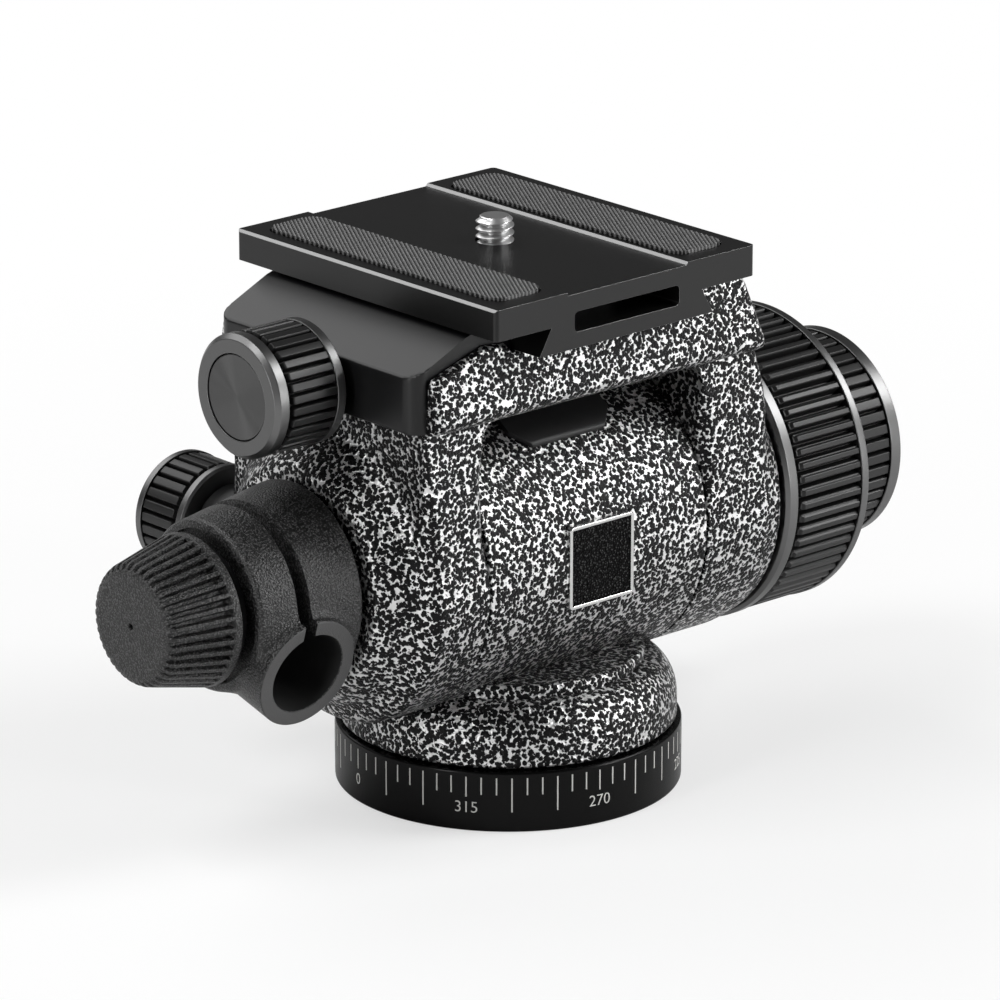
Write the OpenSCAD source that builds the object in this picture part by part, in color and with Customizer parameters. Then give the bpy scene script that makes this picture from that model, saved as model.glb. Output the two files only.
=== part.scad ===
// Two-way fluid video head with a dovetail quick-release plate.
// Millimetres, +Z up. The origin is the centre of the base's underside, on the pan axis.
// The tilt axis runs along X, a little behind the pan axis.

/* [Base] */
// Diameter of the base and its degree scale
base_d = 58; // [55:0.5:66]
// Height of the degree scale
base_h = 10.4; // [9.4:0.1:12]
// Wall of the scale ring
scale_wall = 3.4; // [2.5:0.1:4.5]
// Diameter of the tripod thread
socket_d = 9.525; // [6.35:0.005:9.525]
// Depth of the tripod thread
socket_depth = 12; // [8:0.5:14]
// Diameter of the king post
post_d = 18; // [16:0.5:20]

/* [Housing] */
// Height of the tilt axis
tilt_z = 42.9; // [42:0.1:46]
// How far the tilt axis lies behind the pan axis
tilt_y = 3.3; // [1:0.1:5]
// Diameter of the drum and of the arms' hubs
drum_d = 52; // [51:0.5:54]
// Width of the drum
drum_w = 48; // [47:0.5:52]
// Wall of the drum
drum_wall = 5; // [4.5:0.1:5.5]
// Height of the dome over the base
dome_h = 10.3; // [9:0.1:11]
// Diameter of the neck between dome and drum
neck_d = 45.4; // [42:0.2:46]
// Diameter of the tilt shaft
shaft_d = 12; // [10:0.5:13]
// Side of the square badge
badge_w = 14.2; // [12:0.2:16]

/* [Arms and platform] */
// Thickness of an arm's cheek
arm_t = 12.2; // [11.5:0.1:14]
// How far a hub stands out from its cheek
hub_boss = 5.8; // [5:0.1:8]
// Depth of an arm where it meets the platform
arm_depth = 48; // [46:0.5:50]
// Height of the platform's underside above the tilt axis
seam_h = 28.5; // [28.5:0.1:31]
// Height of the plate's seat above the platform's underside
seat_h = 11.35; // [11:0.05:13]
// Length of the platform over its ends
platform_l = 55.2; // [53:0.2:60]

/* [Quick-release plate] */
// Width of the plate
plate_w = 56.8; // [54:0.2:60]
// Length of the plate
plate_l = 63.8; // [60:0.2:80]
// Thickness of the plate's flange
flange_t = 5.2; // [4.8:0.1:7]
// Width of the dovetail foot
foot_w = 38.1; // [37:0.1:40]
// Width of the dovetail's neck
neck_w = 33; // [31:0.1:35]
// Height of the dovetail foot
foot_h = 4.4; // [4:0.1:5]
// Width of the channel between the pads
channel_w = 26; // [22:0.5:28]
// Thickness of a rubber pad
pad_t = 1.4; // [1:0.1:2]
// Diameter of the camera screw
screw_d = 6.35; // [6.35:0.001:9.525]
// How far the camera screw stands out of the plate
screw_reach = 4.2; // [3.5:0.1:6]

/* [Jaw and its knob] */
// Length of the moving jaw
jaw_l = 48.9; // [44:0.1:50]
// Thickness of the jaw's outer skirt
jaw_skirt = 2.4; // [2:0.1:4]
// Diameter of the clamp screw
clamp_screw_d = 6; // [5:0.5:6]
// Diameter of the clamp knob
clamp_knob_d = 20.6; // [17:0.2:21.6]
// Length of the clamp knob
clamp_knob_l = 14.1; // [12:0.1:16]

/* [Tilt controls] */
// Diameter of the drag ring
ring_d = 51.6; // [48:0.2:54]
// Length of the drag ring
ring_l = 19.4; // [17:0.1:24]
// Diameter of the end knob
end_knob_d = 36.8; // [32:0.2:40]
// Length of the end knob
end_knob_l = 13.6; // [12.5:0.1:20]
// Diameter of the tilt lock knob
lock_knob_d = 20.2; // [17:0.2:21]
// Length of the tilt lock knob
lock_knob_l = 12.1; // [10:0.1:14]
// Diameter of the studs and rods behind the knobs
stud_d = 6; // [5:0.5:6.5]

/* [Pan bar clamp] */
// Diameter of the pan bar's socket
bar_d = 14; // [12:0.1:14.4]
// Depth of the pan bar's socket
bar_depth = 12; // [10:0.1:12.5]
// How far the socket slopes down to the front, in degrees
bar_slope = 16; // [0:1:30]
// Diameter of the clamp beside the arm
bar_clamp_d = 33.8; // [33:0.2:36]
// Diameter of the clamp's outer end
bar_clamp_end_d = 28.4; // [27:0.2:31]
// Length of the clamp
bar_clamp_l = 20.5; // [19.5:0.1:24]
// Width of the clamp's slit
slit_w = 2.4; // [1:0.1:3]
// Diameter of the bar knob beside the clamp
bar_knob_d = 25.8; // [23:0.2:27]
// Diameter of the bar knob's outer end
bar_knob_end_d = 20.4; // [17:0.2:22]
// Length of the bar knob
bar_knob_l = 12.7; // [11:0.1:16]

/* [Fits] */
// Gap between faces that move past each other
run_gap = 0.3; // [0.2:0.05:0.5]
// Radial clearance of shafts, pins and seats
fit_gap = 0.05; // [0.03:0.01:0.08]

/* [Hidden] */
$fn = 96;

// A cut runs this far past the face it opens
over = 1;

// Base and pan bearing
base_r = base_d / 2;
disc_r = base_r - scale_wall - fit_gap;
disc_drop = 1.4;
disc_h = base_h - disc_drop;
post_r = post_d / 2;
post_flange_r = disc_r - 7.5;
post_flange_t = 3;
post_screw_d = 4;
post_screw_at = (post_r + post_flange_r) / 2;
bush_wall = 3;
pan_bush_r = post_r + bush_wall;
post_thread_r = post_r - 1.5;
nut_t = 2.6;
pan_washer_t = 0.8;
post_clear = 1.3;

// Housing
dome_z = base_h + run_gap;
dome_r = base_r - 0.8;
dome_wall_h = 3.5;
neck_z = dome_z + dome_h;
neck_h = 2;
drum_r = drum_d / 2;
drum_x = drum_w / 2;
drum_bore_r = drum_r - drum_wall;
nut_z1 = tilt_z - drum_bore_r - post_clear;
nut_z0 = nut_z1 - nut_t;
pan_bush_z1 = nut_z0 - pan_washer_t;
nut_r = post_r + 2.5;
hub_swing = 0.5;

// Tilt bearing and damper
end_t = 4;
end_x = drum_x - end_t;
shaft_r = shaft_d / 2;
tilt_bush_r = shaft_r + bush_wall;
stator_wall = 4.5;
stator_r = drum_bore_r - fit_gap;
stator_bore_r = stator_r - stator_wall;
rotor_hub_r = shaft_r + 2;
rotor_r = stator_bore_r - 0.5;
disc_t = 2.5;
disc_pitch = 10;
end_screw_d = 2.5;
end_screw_l = end_t + 8;
end_screw_at = stator_r - stator_wall / 2;
collar_r = shaft_r + 4;
collar_bore_r = shaft_r + run_gap;
stud_r = stud_d / 2;

// Arms
arm_x0 = drum_x + run_gap;
arm_x1 = arm_x0 + arm_t;
hub_x = arm_x1 + hub_boss;
arm_mid = (arm_x0 + arm_x1) / 2;
seam_z = tilt_z + seam_h;
shaft_flange_t = 4;
shaft_flange_r = 15;
collar_x = hub_x - shaft_flange_t - 1.3;
shaft_screw_d = 2.5;
shaft_screw_l = shaft_flange_t + 6;
shaft_screw_at = collar_r + run_gap + 1.8;

// Platform and dovetail
platform_x = arm_x1;
platform_top_x = platform_x - 4.6;
seat_z = seam_z + seat_h;
foot_z = seat_z + fit_gap;
flange_z = foot_z + foot_h;
plate_z = flange_z + flange_t;
foot_x = foot_w / 2;
neck_x = neck_w / 2;
slide_gap = 0.1;
jaw_drop = 0.35;
jaw_top_z = flange_z - jaw_drop;
// Where a jaw's undercut flank ends at its top, a sliding gap off the dovetail's flank
flank_x = neck_x + slide_gap + (foot_x - neck_x) * jaw_drop / foot_h;
floor_h = 4.65;
floor_z = seam_z + floor_h;
jaw_wall_x = foot_x + 0.55;
nose_y = platform_l / 2;
nose_lean = 2.4;
lip_depth = nose_y - arm_depth / 2;
lip_h = 2.6;
platform_corner = 1.2;
lip_edge_h = 9.4;
clamp_z = seam_z + 5;
clamp_r = clamp_screw_d / 2;
insert_r = clamp_r + 1.2;
insert_l = 10;
insert_x1 = -jaw_wall_x + insert_l;
boss_half = clamp_r + 0.9;
pin_r = 2;
pin_z = seam_z + 8.1;
pin_inset = 9.5;
pin_at = jaw_l / 2 - pin_inset;
pin_sink = 12;
arm_screw_d = 4;
arm_screw_x = arm_x0 + 3.2;
arm_screw_inset = 10;
arm_screw_at = arm_depth / 2 - arm_screw_inset;
arm_screw_l = 16;

// Jaw
jaw_x = platform_x + run_gap + jaw_skirt;
jaw_low_z = seam_z + 0.5;
jaw_edge_h = 9.9;
jaw_edge_z = seam_z + jaw_edge_h;
jaw_slope_x = platform_x - 8.2;
jaw_slope_z = jaw_top_z - 0.6;

// Plate
channel_depth = 0.5;
pad_margin_x = 3;
pad_margin_y = 3.4;
pad_corner = 3;
pad_x0 = channel_w / 2 + 1.4;
pad_x1 = plate_w / 2 - pad_margin_x;
pad_proud = 0.6;
screw_r = screw_d / 2;
screw_head_r = screw_r + 4.3;
screw_head_t = 2.8;
screw_inset = 0.4;
screw_relief = 0.5;
driver_slot_w = 2;
driver_slot_depth = 1.4;
screw_neck_h = foot_h + flange_t - channel_depth - screw_inset;
slot_w = 23;
slot_h = 3.4;
slot_depth = 10;

// Knobs on the tilt axis
ring_x0 = hub_x + 0.5;
ring_x1 = ring_x0 + ring_l;
ring_r = ring_d / 2;
grip_t = 2.5;
rim_inner = 2.8;
rim_outer = 1.8;
ring_ribs = 68;
hub_flange_r = 17.5;
hub_flange_t = 3;
sleeve_r = shaft_r + 6;
clip_t = 0.7;
clip_depth = 0.7;
clip_x = ring_x1 + 0.1;
sleeve_x1 = clip_x + clip_t + 0.4;
nut_pocket_r = shaft_r + 4;
nut_pocket_inset = 9;
nut_pocket_x = hub_x + nut_pocket_inset;
shaft_nut_t = 5;
shaft_x1 = nut_pocket_x + 0.2 + shaft_nut_t + 0.8;
hub_screw_d = 2.5;
hub_screw_l = hub_flange_t + 8;
hub_screw_at = (hub_flange_r + sleeve_r) / 2;
end_x0 = sleeve_x1 + run_gap;
end_x1 = end_x0 + end_knob_l;
end_r = end_knob_d / 2;
rod_reach = 10;

// Tilt lock
lock_x = arm_mid + 3;
lock_bush_r = 7;
lock_bush_y0 = tilt_y + drum_r - 1;
lock_bush_l = 4;
lock_y0 = lock_bush_y0 + lock_bush_l + run_gap;
lock_y1 = lock_y0 + lock_knob_l;
lock_r = lock_knob_d / 2;
lock_stud_r = 2.5;

// Pan bar clamp
washer_t = 1.2;
bar_x0 = hub_x + washer_t;
bar_x1 = bar_x0 + bar_clamp_l;
bar_inset = 9.9;
bar_mid = bar_x0 + bar_inset;
bar_r = bar_d / 2;
bar_wall = 2.65;
bar_boss_r = bar_r + bar_wall;
slit_shift = 1.2;
bar_drop = 5.45;
bar_face = 16.75;
seat_lip = 1.4;
knob_seat_r = bar_clamp_end_d / 2 - seat_lip;
knob_seat_t = 1.5;
knob_washer_t = 2.6;
knob_washer_r = 10.5;
bar_knob_x0 = bar_x1 - knob_seat_t + knob_washer_t;
bar_knob_x1 = bar_knob_x0 + bar_knob_l;

// Points of a ribbed outline: flat ribs of radius r, grooves of the given depth between them
function rib_points(r, depth, count) = [
    for (i = [0 : count - 1], s = [[0, 0], [0.6, 0], [0.7, 1], [0.9, 1]])
        let (a = 360 * (i + s[0]) / count, q = r - depth * s[1])
        [q * cos(a), q * sin(a)]
];

// Places a shape made about Z on the tilt axis, with its +Z along +X
module on_tilt() { translate([0, tilt_y, tilt_z]) rotate([0, 90, 0]) children(); }

// A rod along the tilt axis from x0 to x1
module x_rod(r, x0, x1) { on_tilt() translate([0, 0, x0]) cylinder(r = r, h = x1 - x0); }

// A tube along the tilt axis
module x_tube(r, bore, x0, x1) {
    difference() {
        x_rod(r, x0, x1);
        x_rod(bore, x0 - over, x1 + over);
    }
}

// A rod along X at any place
module x_pin(r, x0, x1, y, z) { translate([x0, y, z]) rotate([0, 90, 0]) cylinder(r = r, h = x1 - x0); }

// A rod along Y behind the left arm, where the tilt lock sits
module lock_rod(r, y0, y1) {
    translate([-lock_x, y0, tilt_z]) rotate([-90, 0, 0]) cylinder(r = r, h = y1 - y0);
}

// A cap screw that points down, with its head's top at the origin
module cap_screw(d, l, grow = 0) {
    translate([0, 0, -0.7 * d - grow]) cylinder(r = 0.9 * d + grow, h = 0.7 * d + grow);
    translate([0, 0, -l - grow]) cylinder(r = d / 2 + grow, h = l + grow);
}

// Four cap screws on a circle about the tilt axis, heads flush at x, pointing along sign
module x_screws(d, l, at, x, sign, grow = 0) {
    for (a = [45 : 90 : 315])
        translate([x, tilt_y + at * cos(a), tilt_z + at * sin(a)])
            rotate([0, 90 * sign, 0]) cap_screw(d, l, grow);
}

// A rectangle with round corners, centred
module round_rect(w, l, r) {
    square([w - 2 * r, l], center = true);
    square([w, l - 2 * r], center = true);
    for (x = [-1, 1], y = [-1, 1]) translate([x * (w / 2 - r), y * (l / 2 - r)]) circle(r = r);
}

// A ribbed rubber sleeve about Z
module grip(r, bore, h, count, depth) {
    difference() {
        linear_extrude(h) polygon(rib_points(r, depth, count));
        translate([0, 0, -over]) cylinder(r = bore, h = h + 2 * over);
    }
}

// A knob's metal core about Z: two rims with a seat for the grip between them
module knob_core(r, h, rim0, rim1, bore, bore_h) {
    difference() {
        union() {
            cylinder(r = r, h = rim0);
            cylinder(r = r - grip_t, h = h);
            translate([0, 0, h - rim1]) cylinder(r = r, h = rim1);
        }
        translate([0, 0, -over]) cylinder(r = bore, h = bore_h + over);
    }
}

// Base

module scale_ring() {
    color("#161616") difference() {
        cylinder(r = base_r, h = base_h);
        translate([0, 0, -over]) cylinder(r = base_r - scale_wall, h = base_h + 2 * over);
    }
}

module base_disc() {
    color("#222222") difference() {
        cylinder(r = disc_r, h = disc_h);
        translate([0, 0, -over]) cylinder(r = post_r + fit_gap, h = disc_h + 2 * over);
        translate([0, 0, disc_h - post_flange_t])
            cylinder(r = post_flange_r + fit_gap, h = post_flange_t + over);
        post_screw_set(fit_gap);
    }
}

module king_post() {
    color("silver") difference() {
        union() {
            cylinder(r = post_r, h = pan_bush_z1);
            translate([0, 0, disc_h - post_flange_t]) cylinder(r = post_flange_r, h = post_flange_t);
            cylinder(r = post_thread_r, h = nut_z1);
        }
        translate([0, 0, -over]) cylinder(d = socket_d, h = socket_depth + over);
        post_screw_set(fit_gap);
    }
}

// Screws that hold the post's flange down, from the underside
module post_screw_set(grow = 0) {
    for (a = [0 : 90 : 270])
        rotate([0, 0, a]) translate([post_screw_at, 0, 0.3]) rotate([180, 0, 0])
            cap_screw(post_screw_d, disc_h - 0.8, grow);
    if (grow > 0)
        for (a = [0 : 90 : 270])
            rotate([0, 0, a]) translate([post_screw_at, 0, -over])
                cylinder(r = 0.9 * post_screw_d + grow, h = over + 0.4);
}

module post_screws() { color("dimgray") post_screw_set(); }

module thrust_washer() {
    color("whitesmoke") translate([0, 0, disc_h]) difference() {
        cylinder(r = disc_r - 1, h = dome_z - disc_h - fit_gap);
        translate([0, 0, -over]) cylinder(r = post_r + 4, h = disc_drop + 3 * over);
    }
}

module pan_washer() {
    color("gray") translate([0, 0, pan_bush_z1 + fit_gap]) difference() {
        cylinder(r = nut_r, h = pan_washer_t - fit_gap);
        translate([0, 0, -over]) cylinder(r = post_thread_r + fit_gap, h = pan_washer_t + 2 * over);
    }
}

module pan_nut() {
    color("silver") translate([0, 0, nut_z0]) difference() {
        cylinder(r = nut_r, h = nut_t, $fn = 6);
        translate([0, 0, -over]) cylinder(r = post_thread_r + fit_gap, h = nut_t + 2 * over);
    }
}

// Panning housing

// The dome's half section: an upright wall, then a quarter ellipse up to the neck
module dome_section() {
    shoulder = dome_r - neck_d / 2;
    rise = dome_h - dome_wall_h;
    polygon(concat(
        [[0, dome_z], [dome_r, dome_z]],
        [for (a = [0 : 10 : 90]) [neck_d / 2 + shoulder * cos(a), dome_z + dome_wall_h + rise * sin(a)]],
        [[neck_d / 2, neck_z + neck_h], [0, neck_z + neck_h]]
    ));
}

module badge_block(side, y0, y1) {
    translate([-side / 2, y0, tilt_z - side / 2]) cube([side, y1 - y0, side]);
}

badge_y = tilt_y - drum_r;
badge_sink = 1.6;
badge_proud = 0.2;
frame_w = 0.7;

module housing() {
    color("#6b6b6b") difference() {
        union() {
            difference() {
                rotate_extrude() dome_section();
                x_rod(drum_r + hub_swing, drum_x, drum_x + drum_r);
                x_rod(drum_r + hub_swing, -drum_x - drum_r, -drum_x);
            }
            x_rod(drum_r, -drum_x, drum_x);
        }
        x_rod(drum_bore_r, -drum_x - over, drum_x + over);
        translate([0, 0, dome_z - over]) cylinder(r = pan_bush_r + fit_gap, h = tilt_z - dome_z);
        translate([0, 0, pan_bush_z1]) cylinder(r = nut_r + 1, h = tilt_z - pan_bush_z1);
        badge_block(badge_w + 2 * fit_gap, badge_y - over, badge_y + badge_sink);
    }
}

module pan_bush() {
    color("peru") translate([0, 0, dome_z]) difference() {
        cylinder(r = pan_bush_r, h = pan_bush_z1 - dome_z);
        translate([0, 0, -over]) cylinder(r = post_r + fit_gap, h = tilt_z);
    }
}

module end_plate(bore) {
    difference() {
        x_rod(drum_bore_r - fit_gap, end_x, drum_x);
        x_rod(bore, 0, drum_x + over);
        x_screws(end_screw_d, end_screw_l, end_screw_at, drum_x, 1, fit_gap);
    }
}

// The left plate carries a fixed collar that the tilt lock grips
module end_plate_left() {
    color("gray") {
        mirror([1, 0, 0]) end_plate(tilt_bush_r + fit_gap);
        x_tube(collar_r, tilt_bush_r + fit_gap, -drum_x - 2, -drum_x);
        x_tube(collar_r, collar_bore_r, -collar_x, -drum_x - 2);
    }
}

module end_plate_right() { color("gray") end_plate(tilt_bush_r + fit_gap); }

module end_plate_screws() {
    color("dimgray") {
        x_screws(end_screw_d, end_screw_l, end_screw_at, drum_x, 1);
        mirror([1, 0, 0]) x_screws(end_screw_d, end_screw_l, end_screw_at, drum_x, 1);
    }
}

module tilt_bush_left() { color("peru") x_tube(tilt_bush_r, shaft_r + fit_gap, -drum_x, -end_x); }
module tilt_bush_right() { color("peru") x_tube(tilt_bush_r, shaft_r + fit_gap, end_x, drum_x); }

// Fixed cup of the fluid damper, with its inner plates
module damper_stator() {
    color("lightsteelblue") difference() {
        union() {
            x_tube(stator_r, stator_bore_r, -end_x, end_x);
            for (x = [-1.5, -0.5, 0.5, 1.5])
                x_tube(stator_bore_r + over, rotor_hub_r + 0.5, x * disc_pitch - disc_t / 2,
                    x * disc_pitch + disc_t / 2);
        }
        x_screws(end_screw_d, end_screw_l, end_screw_at, drum_x, 1, fit_gap);
        mirror([1, 0, 0]) x_screws(end_screw_d, end_screw_l, end_screw_at, drum_x, 1, fit_gap);
    }
}

module badge_frame() {
    color("silver") difference() {
        badge_block(badge_w, badge_y - badge_proud, badge_y + badge_sink);
        badge_block(badge_w - 2 * frame_w, badge_y - over, badge_y + badge_sink + over);
    }
}

module badge_plate() {
    color("black") badge_block(badge_w - 2 * frame_w - 2 * fit_gap, badge_y, badge_y + badge_sink);
}

cover_w = 22;
cover_lip_w = 15.6;
cover_t = 0.9;
cover_low = 47;
cover_h = 18;
cover_corner = 3.4;

// Black cover on the drum's upper front, with its lower corners cut off
module drum_cover() {
    color("#101010") intersection() {
        x_tube(drum_r + cover_t, drum_r + fit_gap, -cover_w / 2, cover_w / 2);
        translate([0, tilt_y, tilt_z]) rotate([90 - cover_low, 0, 0]) linear_extrude(2 * drum_r)
            polygon([
                [-cover_lip_w / 2, 0], [cover_lip_w / 2, 0], [cover_w / 2, cover_corner],
                [cover_w / 2, cover_h], [-cover_w / 2, cover_h], [-cover_w / 2, cover_corner]
            ]);
    }
}

// Tilting saddle

// Side outline of an arm: its hub, and the cheek that rises to the seam
module arm_outline() {
    circle(r = drum_r);
    polygon([[drum_r, 0], [arm_depth / 2, seam_h], [-arm_depth / 2, seam_h], [-drum_r, 0]]);
}

// The cheek of an arm, from x0 to x1, with its outline upright
module arm_cheek(x0, x1) {
    translate([x0, tilt_y, tilt_z]) rotate([90, 0, 90]) linear_extrude(x1 - x0) arm_outline();
}

// Vertical screws that hold the platform to the arms
module arm_screw_set(side, grow = 0) {
    for (y = [-1, 1])
        translate([side * arm_screw_x, tilt_y + y * arm_screw_at, floor_z])
            cap_screw(arm_screw_d, arm_screw_l, grow);
}

module left_arm() {
    color("#6b6b6b") difference() {
        union() {
            arm_cheek(-arm_x1, -arm_x0);
            on_tilt() translate([0, 0, -hub_x])
                cylinder(r1 = shaft_flange_r + 3.5, r2 = drum_r - 2, h = hub_boss);
        }
        x_rod(shaft_flange_r + fit_gap, -hub_x - over, -hub_x + shaft_flange_t);
        x_rod(shaft_r + fit_gap, -hub_x, 0);
        x_rod(collar_r + run_gap, -collar_x - run_gap, 0);
        x_screws(shaft_screw_d, shaft_screw_l, shaft_screw_at, -hub_x, -1, fit_gap);
        arm_screw_set(-1, fit_gap);
        lock_rod(lock_stud_r + fit_gap, tilt_y, tilt_y + 2 * drum_r);
        lock_rod(lock_bush_r + fit_gap, lock_bush_y0, tilt_y + 2 * drum_r);
    }
}

module right_arm() {
    color("#6b6b6b") difference() {
        union() {
            arm_cheek(arm_x0, arm_x1);
            on_tilt() translate([0, 0, arm_x1])
                cylinder(r1 = drum_r - 0.5, r2 = drum_r - 1.4, h = hub_boss);
        }
        x_rod(shaft_r + fit_gap, 0, hub_x + over);
        x_screws(hub_screw_d, hub_screw_l, hub_screw_at, hub_x + hub_flange_t, 1, fit_gap);
        arm_screw_set(1, fit_gap);
    }
}

// Front outline of the platform: fixed dovetail jaw on the right, sloped lip on the left
module platform_front() {
    polygon([
        [-platform_x, seam_z], [platform_x, seam_z], [platform_top_x, jaw_top_z],
        [flank_x, jaw_top_z], [foot_x + slide_gap, foot_z], [foot_x + slide_gap, seat_z],
        [-jaw_wall_x, seat_z], [-foot_x - 1.6, seat_z + 1.4], [-foot_x - 6, seat_z + 1.7],
        [-platform_x, seam_z + lip_edge_h]
    ]);
}

// Side outline of the platform: ends that lean in a little, over a lip that rounds under to the arms
module platform_side() {
    lip = [for (a = [-90 : 15 : 0]) [nose_y - lip_depth * (1 - cos(a)), seam_z + lip_h * (1 + sin(a))]];
    nose = concat(lip, [[nose_y - nose_lean, jaw_top_z]]);
    polygon(concat(nose, [for (i = [len(nose) - 1 : -1 : 0]) [-nose[i][0], nose[i][1]]]));
}

module platform() {
    color("#6b6b6b") difference() {
        intersection() {
            translate([0, tilt_y + platform_l / 2, 0]) rotate([90, 0, 0])
                linear_extrude(platform_l) platform_front();
            translate([-platform_x, tilt_y, 0]) rotate([90, 0, 90])
                linear_extrude(2 * platform_x) platform_side();
            translate([0, tilt_y, seam_z])
                linear_extrude(seat_h + foot_h) round_rect(2 * platform_x, platform_l, platform_corner);
        }
        translate([-jaw_x - over, tilt_y - jaw_l / 2 - run_gap, floor_z])
            cube([jaw_x + over - jaw_wall_x, jaw_l + 2 * run_gap, 2 * seat_h]);
        translate([-jaw_x - over, tilt_y - boss_half - run_gap, clamp_z - boss_half - run_gap])
            cube([jaw_x + over - jaw_wall_x, 2 * (boss_half + run_gap), seat_h]);
        x_pin(insert_r + fit_gap, -jaw_wall_x - over, insert_x1, tilt_y, clamp_z);
        x_pin(clamp_r + run_gap, -jaw_wall_x - over, insert_x1 + 6, tilt_y, clamp_z);
        for (y = [-1, 1])
            x_pin(pin_r + fit_gap, -jaw_wall_x - over, -jaw_wall_x + pin_sink, tilt_y + y * pin_at, pin_z);
        for (side = [-1, 1]) arm_screw_set(side, fit_gap);
        for (y = [-1, 1])
            translate([arm_screw_x, tilt_y + y * arm_screw_at, floor_z - over])
                cylinder(r = 0.9 * arm_screw_d + fit_gap, h = 2 * seat_h);
    }
}

module arm_screws() { color("dimgray") for (side = [-1, 1]) arm_screw_set(side); }

// Hollow steel shaft with the flange that carries the left arm
module tilt_shaft() {
    color("silver") difference() {
        union() {
            x_rod(shaft_r, -hub_x, shaft_x1);
            x_rod(shaft_flange_r, -hub_x, -hub_x + shaft_flange_t);
        }
        x_rod(stud_r + fit_gap, -hub_x - over, shaft_x1 + over);
        x_screws(shaft_screw_d, shaft_screw_l, shaft_screw_at, -hub_x, -1, fit_gap);
    }
}

module shaft_screws() { color("dimgray") x_screws(shaft_screw_d, shaft_screw_l, shaft_screw_at, -hub_x, -1); }

module damper_rotor() {
    color("lightgray") {
        x_tube(rotor_hub_r, shaft_r + fit_gap, -1.5 * disc_pitch - disc_t, 1.5 * disc_pitch + disc_t);
        for (x = [-1, 0, 1])
            x_tube(rotor_r, rotor_hub_r - fit_gap, x * disc_pitch - disc_t / 2, x * disc_pitch + disc_t / 2);
    }
}

module shaft_nut() {
    color("silver") difference() {
        on_tilt() translate([0, 0, nut_pocket_x + 0.2])
            cylinder(r = nut_pocket_r - 0.6, h = shaft_nut_t, $fn = 6);
        x_rod(shaft_r + fit_gap, 0, shaft_x1 + over);
    }
}

// Sleeve on the right hub that the drag ring turns on
module ring_hub() {
    color("gray") difference() {
        union() {
            x_rod(hub_flange_r, hub_x, hub_x + hub_flange_t);
            x_rod(sleeve_r, hub_x, sleeve_x1);
        }
        x_rod(shaft_r + fit_gap, hub_x - over, sleeve_x1 + over);
        x_rod(nut_pocket_r, nut_pocket_x, sleeve_x1 + over);
        x_screws(hub_screw_d, hub_screw_l, hub_screw_at, hub_x + hub_flange_t, 1, fit_gap);
        x_tube(sleeve_r + over, sleeve_r - clip_depth, clip_x, clip_x + clip_t + fit_gap);
    }
}

module ring_hub_screws() {
    color("dimgray") x_screws(hub_screw_d, hub_screw_l, hub_screw_at, hub_x + hub_flange_t, 1);
}

module ring_clip() {
    color("dimgray") x_tube(sleeve_r + 1.5, sleeve_r - clip_depth + fit_gap, clip_x, clip_x + clip_t);
}

// Dark ferrule on the back of the left arm, round the lock's stud
module lock_bush() {
    color("#151515") difference() {
        lock_rod(lock_bush_r, lock_bush_y0, lock_bush_y0 + lock_bush_l);
        lock_rod(lock_stud_r + fit_gap, lock_bush_y0 - over, lock_y1);
    }
}

module clamp_insert() {
    color("goldenrod") difference() {
        x_pin(insert_r, -jaw_wall_x, insert_x1, tilt_y, clamp_z);
        x_pin(clamp_r + fit_gap, -jaw_wall_x - over, insert_x1 + over, tilt_y, clamp_z);
    }
}

module jaw_pins() {
    color("silver") for (y = [-1, 1])
        x_pin(pin_r, -jaw_wall_x - pin_sink, -jaw_wall_x + pin_sink, tilt_y + y * pin_at, pin_z);
}

module bar_washer() {
    color("#303030") x_tube(shaft_flange_r - 0.5, stud_r + 1, -hub_x - washer_t + fit_gap, -hub_x);
}

// Moving jaw

module jaw_section() {
    polygon([
        [-jaw_x, jaw_low_z], [-jaw_x, jaw_edge_z],
        [-jaw_slope_x, jaw_slope_z], [-jaw_slope_x + 2, jaw_top_z],
        [-flank_x, jaw_top_z], [-foot_x - slide_gap, foot_z], [-jaw_wall_x - slide_gap, foot_z],
        [-jaw_wall_x - slide_gap, floor_z + slide_gap], [-platform_x - run_gap, floor_z + slide_gap],
        [-platform_x - run_gap, jaw_low_z]
    ]);
}

module jaw() {
    color("#1b1b1b") difference() {
        union() {
            intersection() {
                translate([0, tilt_y + jaw_l / 2, 0]) rotate([90, 0, 0]) linear_extrude(jaw_l) jaw_section();
                translate([0, tilt_y, seam_z]) linear_extrude(2 * seat_h) round_rect(2 * jaw_x, jaw_l, 3);
            }
            translate([-platform_x - run_gap, tilt_y - boss_half, clamp_z - boss_half])
                cube([platform_x + run_gap - jaw_wall_x - slide_gap, 2 * boss_half, boss_half + 1]);
        }
        x_pin(clamp_r + run_gap, -jaw_x - over, 0, tilt_y, clamp_z);
        for (y = [-1, 1])
            x_pin(pin_r + fit_gap, -jaw_wall_x - pin_sink - over, 0, tilt_y + y * pin_at, pin_z);
    }
}

// Clamp knob

clamp_neck = 1.6;
clamp_x0 = jaw_x + clamp_neck;
clamp_x1 = clamp_x0 + clamp_knob_l;
clamp_knob_r = clamp_knob_d / 2;
clamp_rim = 2;
cap_t = 1;
cap_wall = 2.65;
clamp_screw_sink = 9;

// Places a shape made about Z at the clamp knob, with its +Z pointing away from the jaw
module on_clamp() { translate([-clamp_x0, tilt_y, clamp_z]) rotate([0, -90, 0]) children(); }

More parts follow.
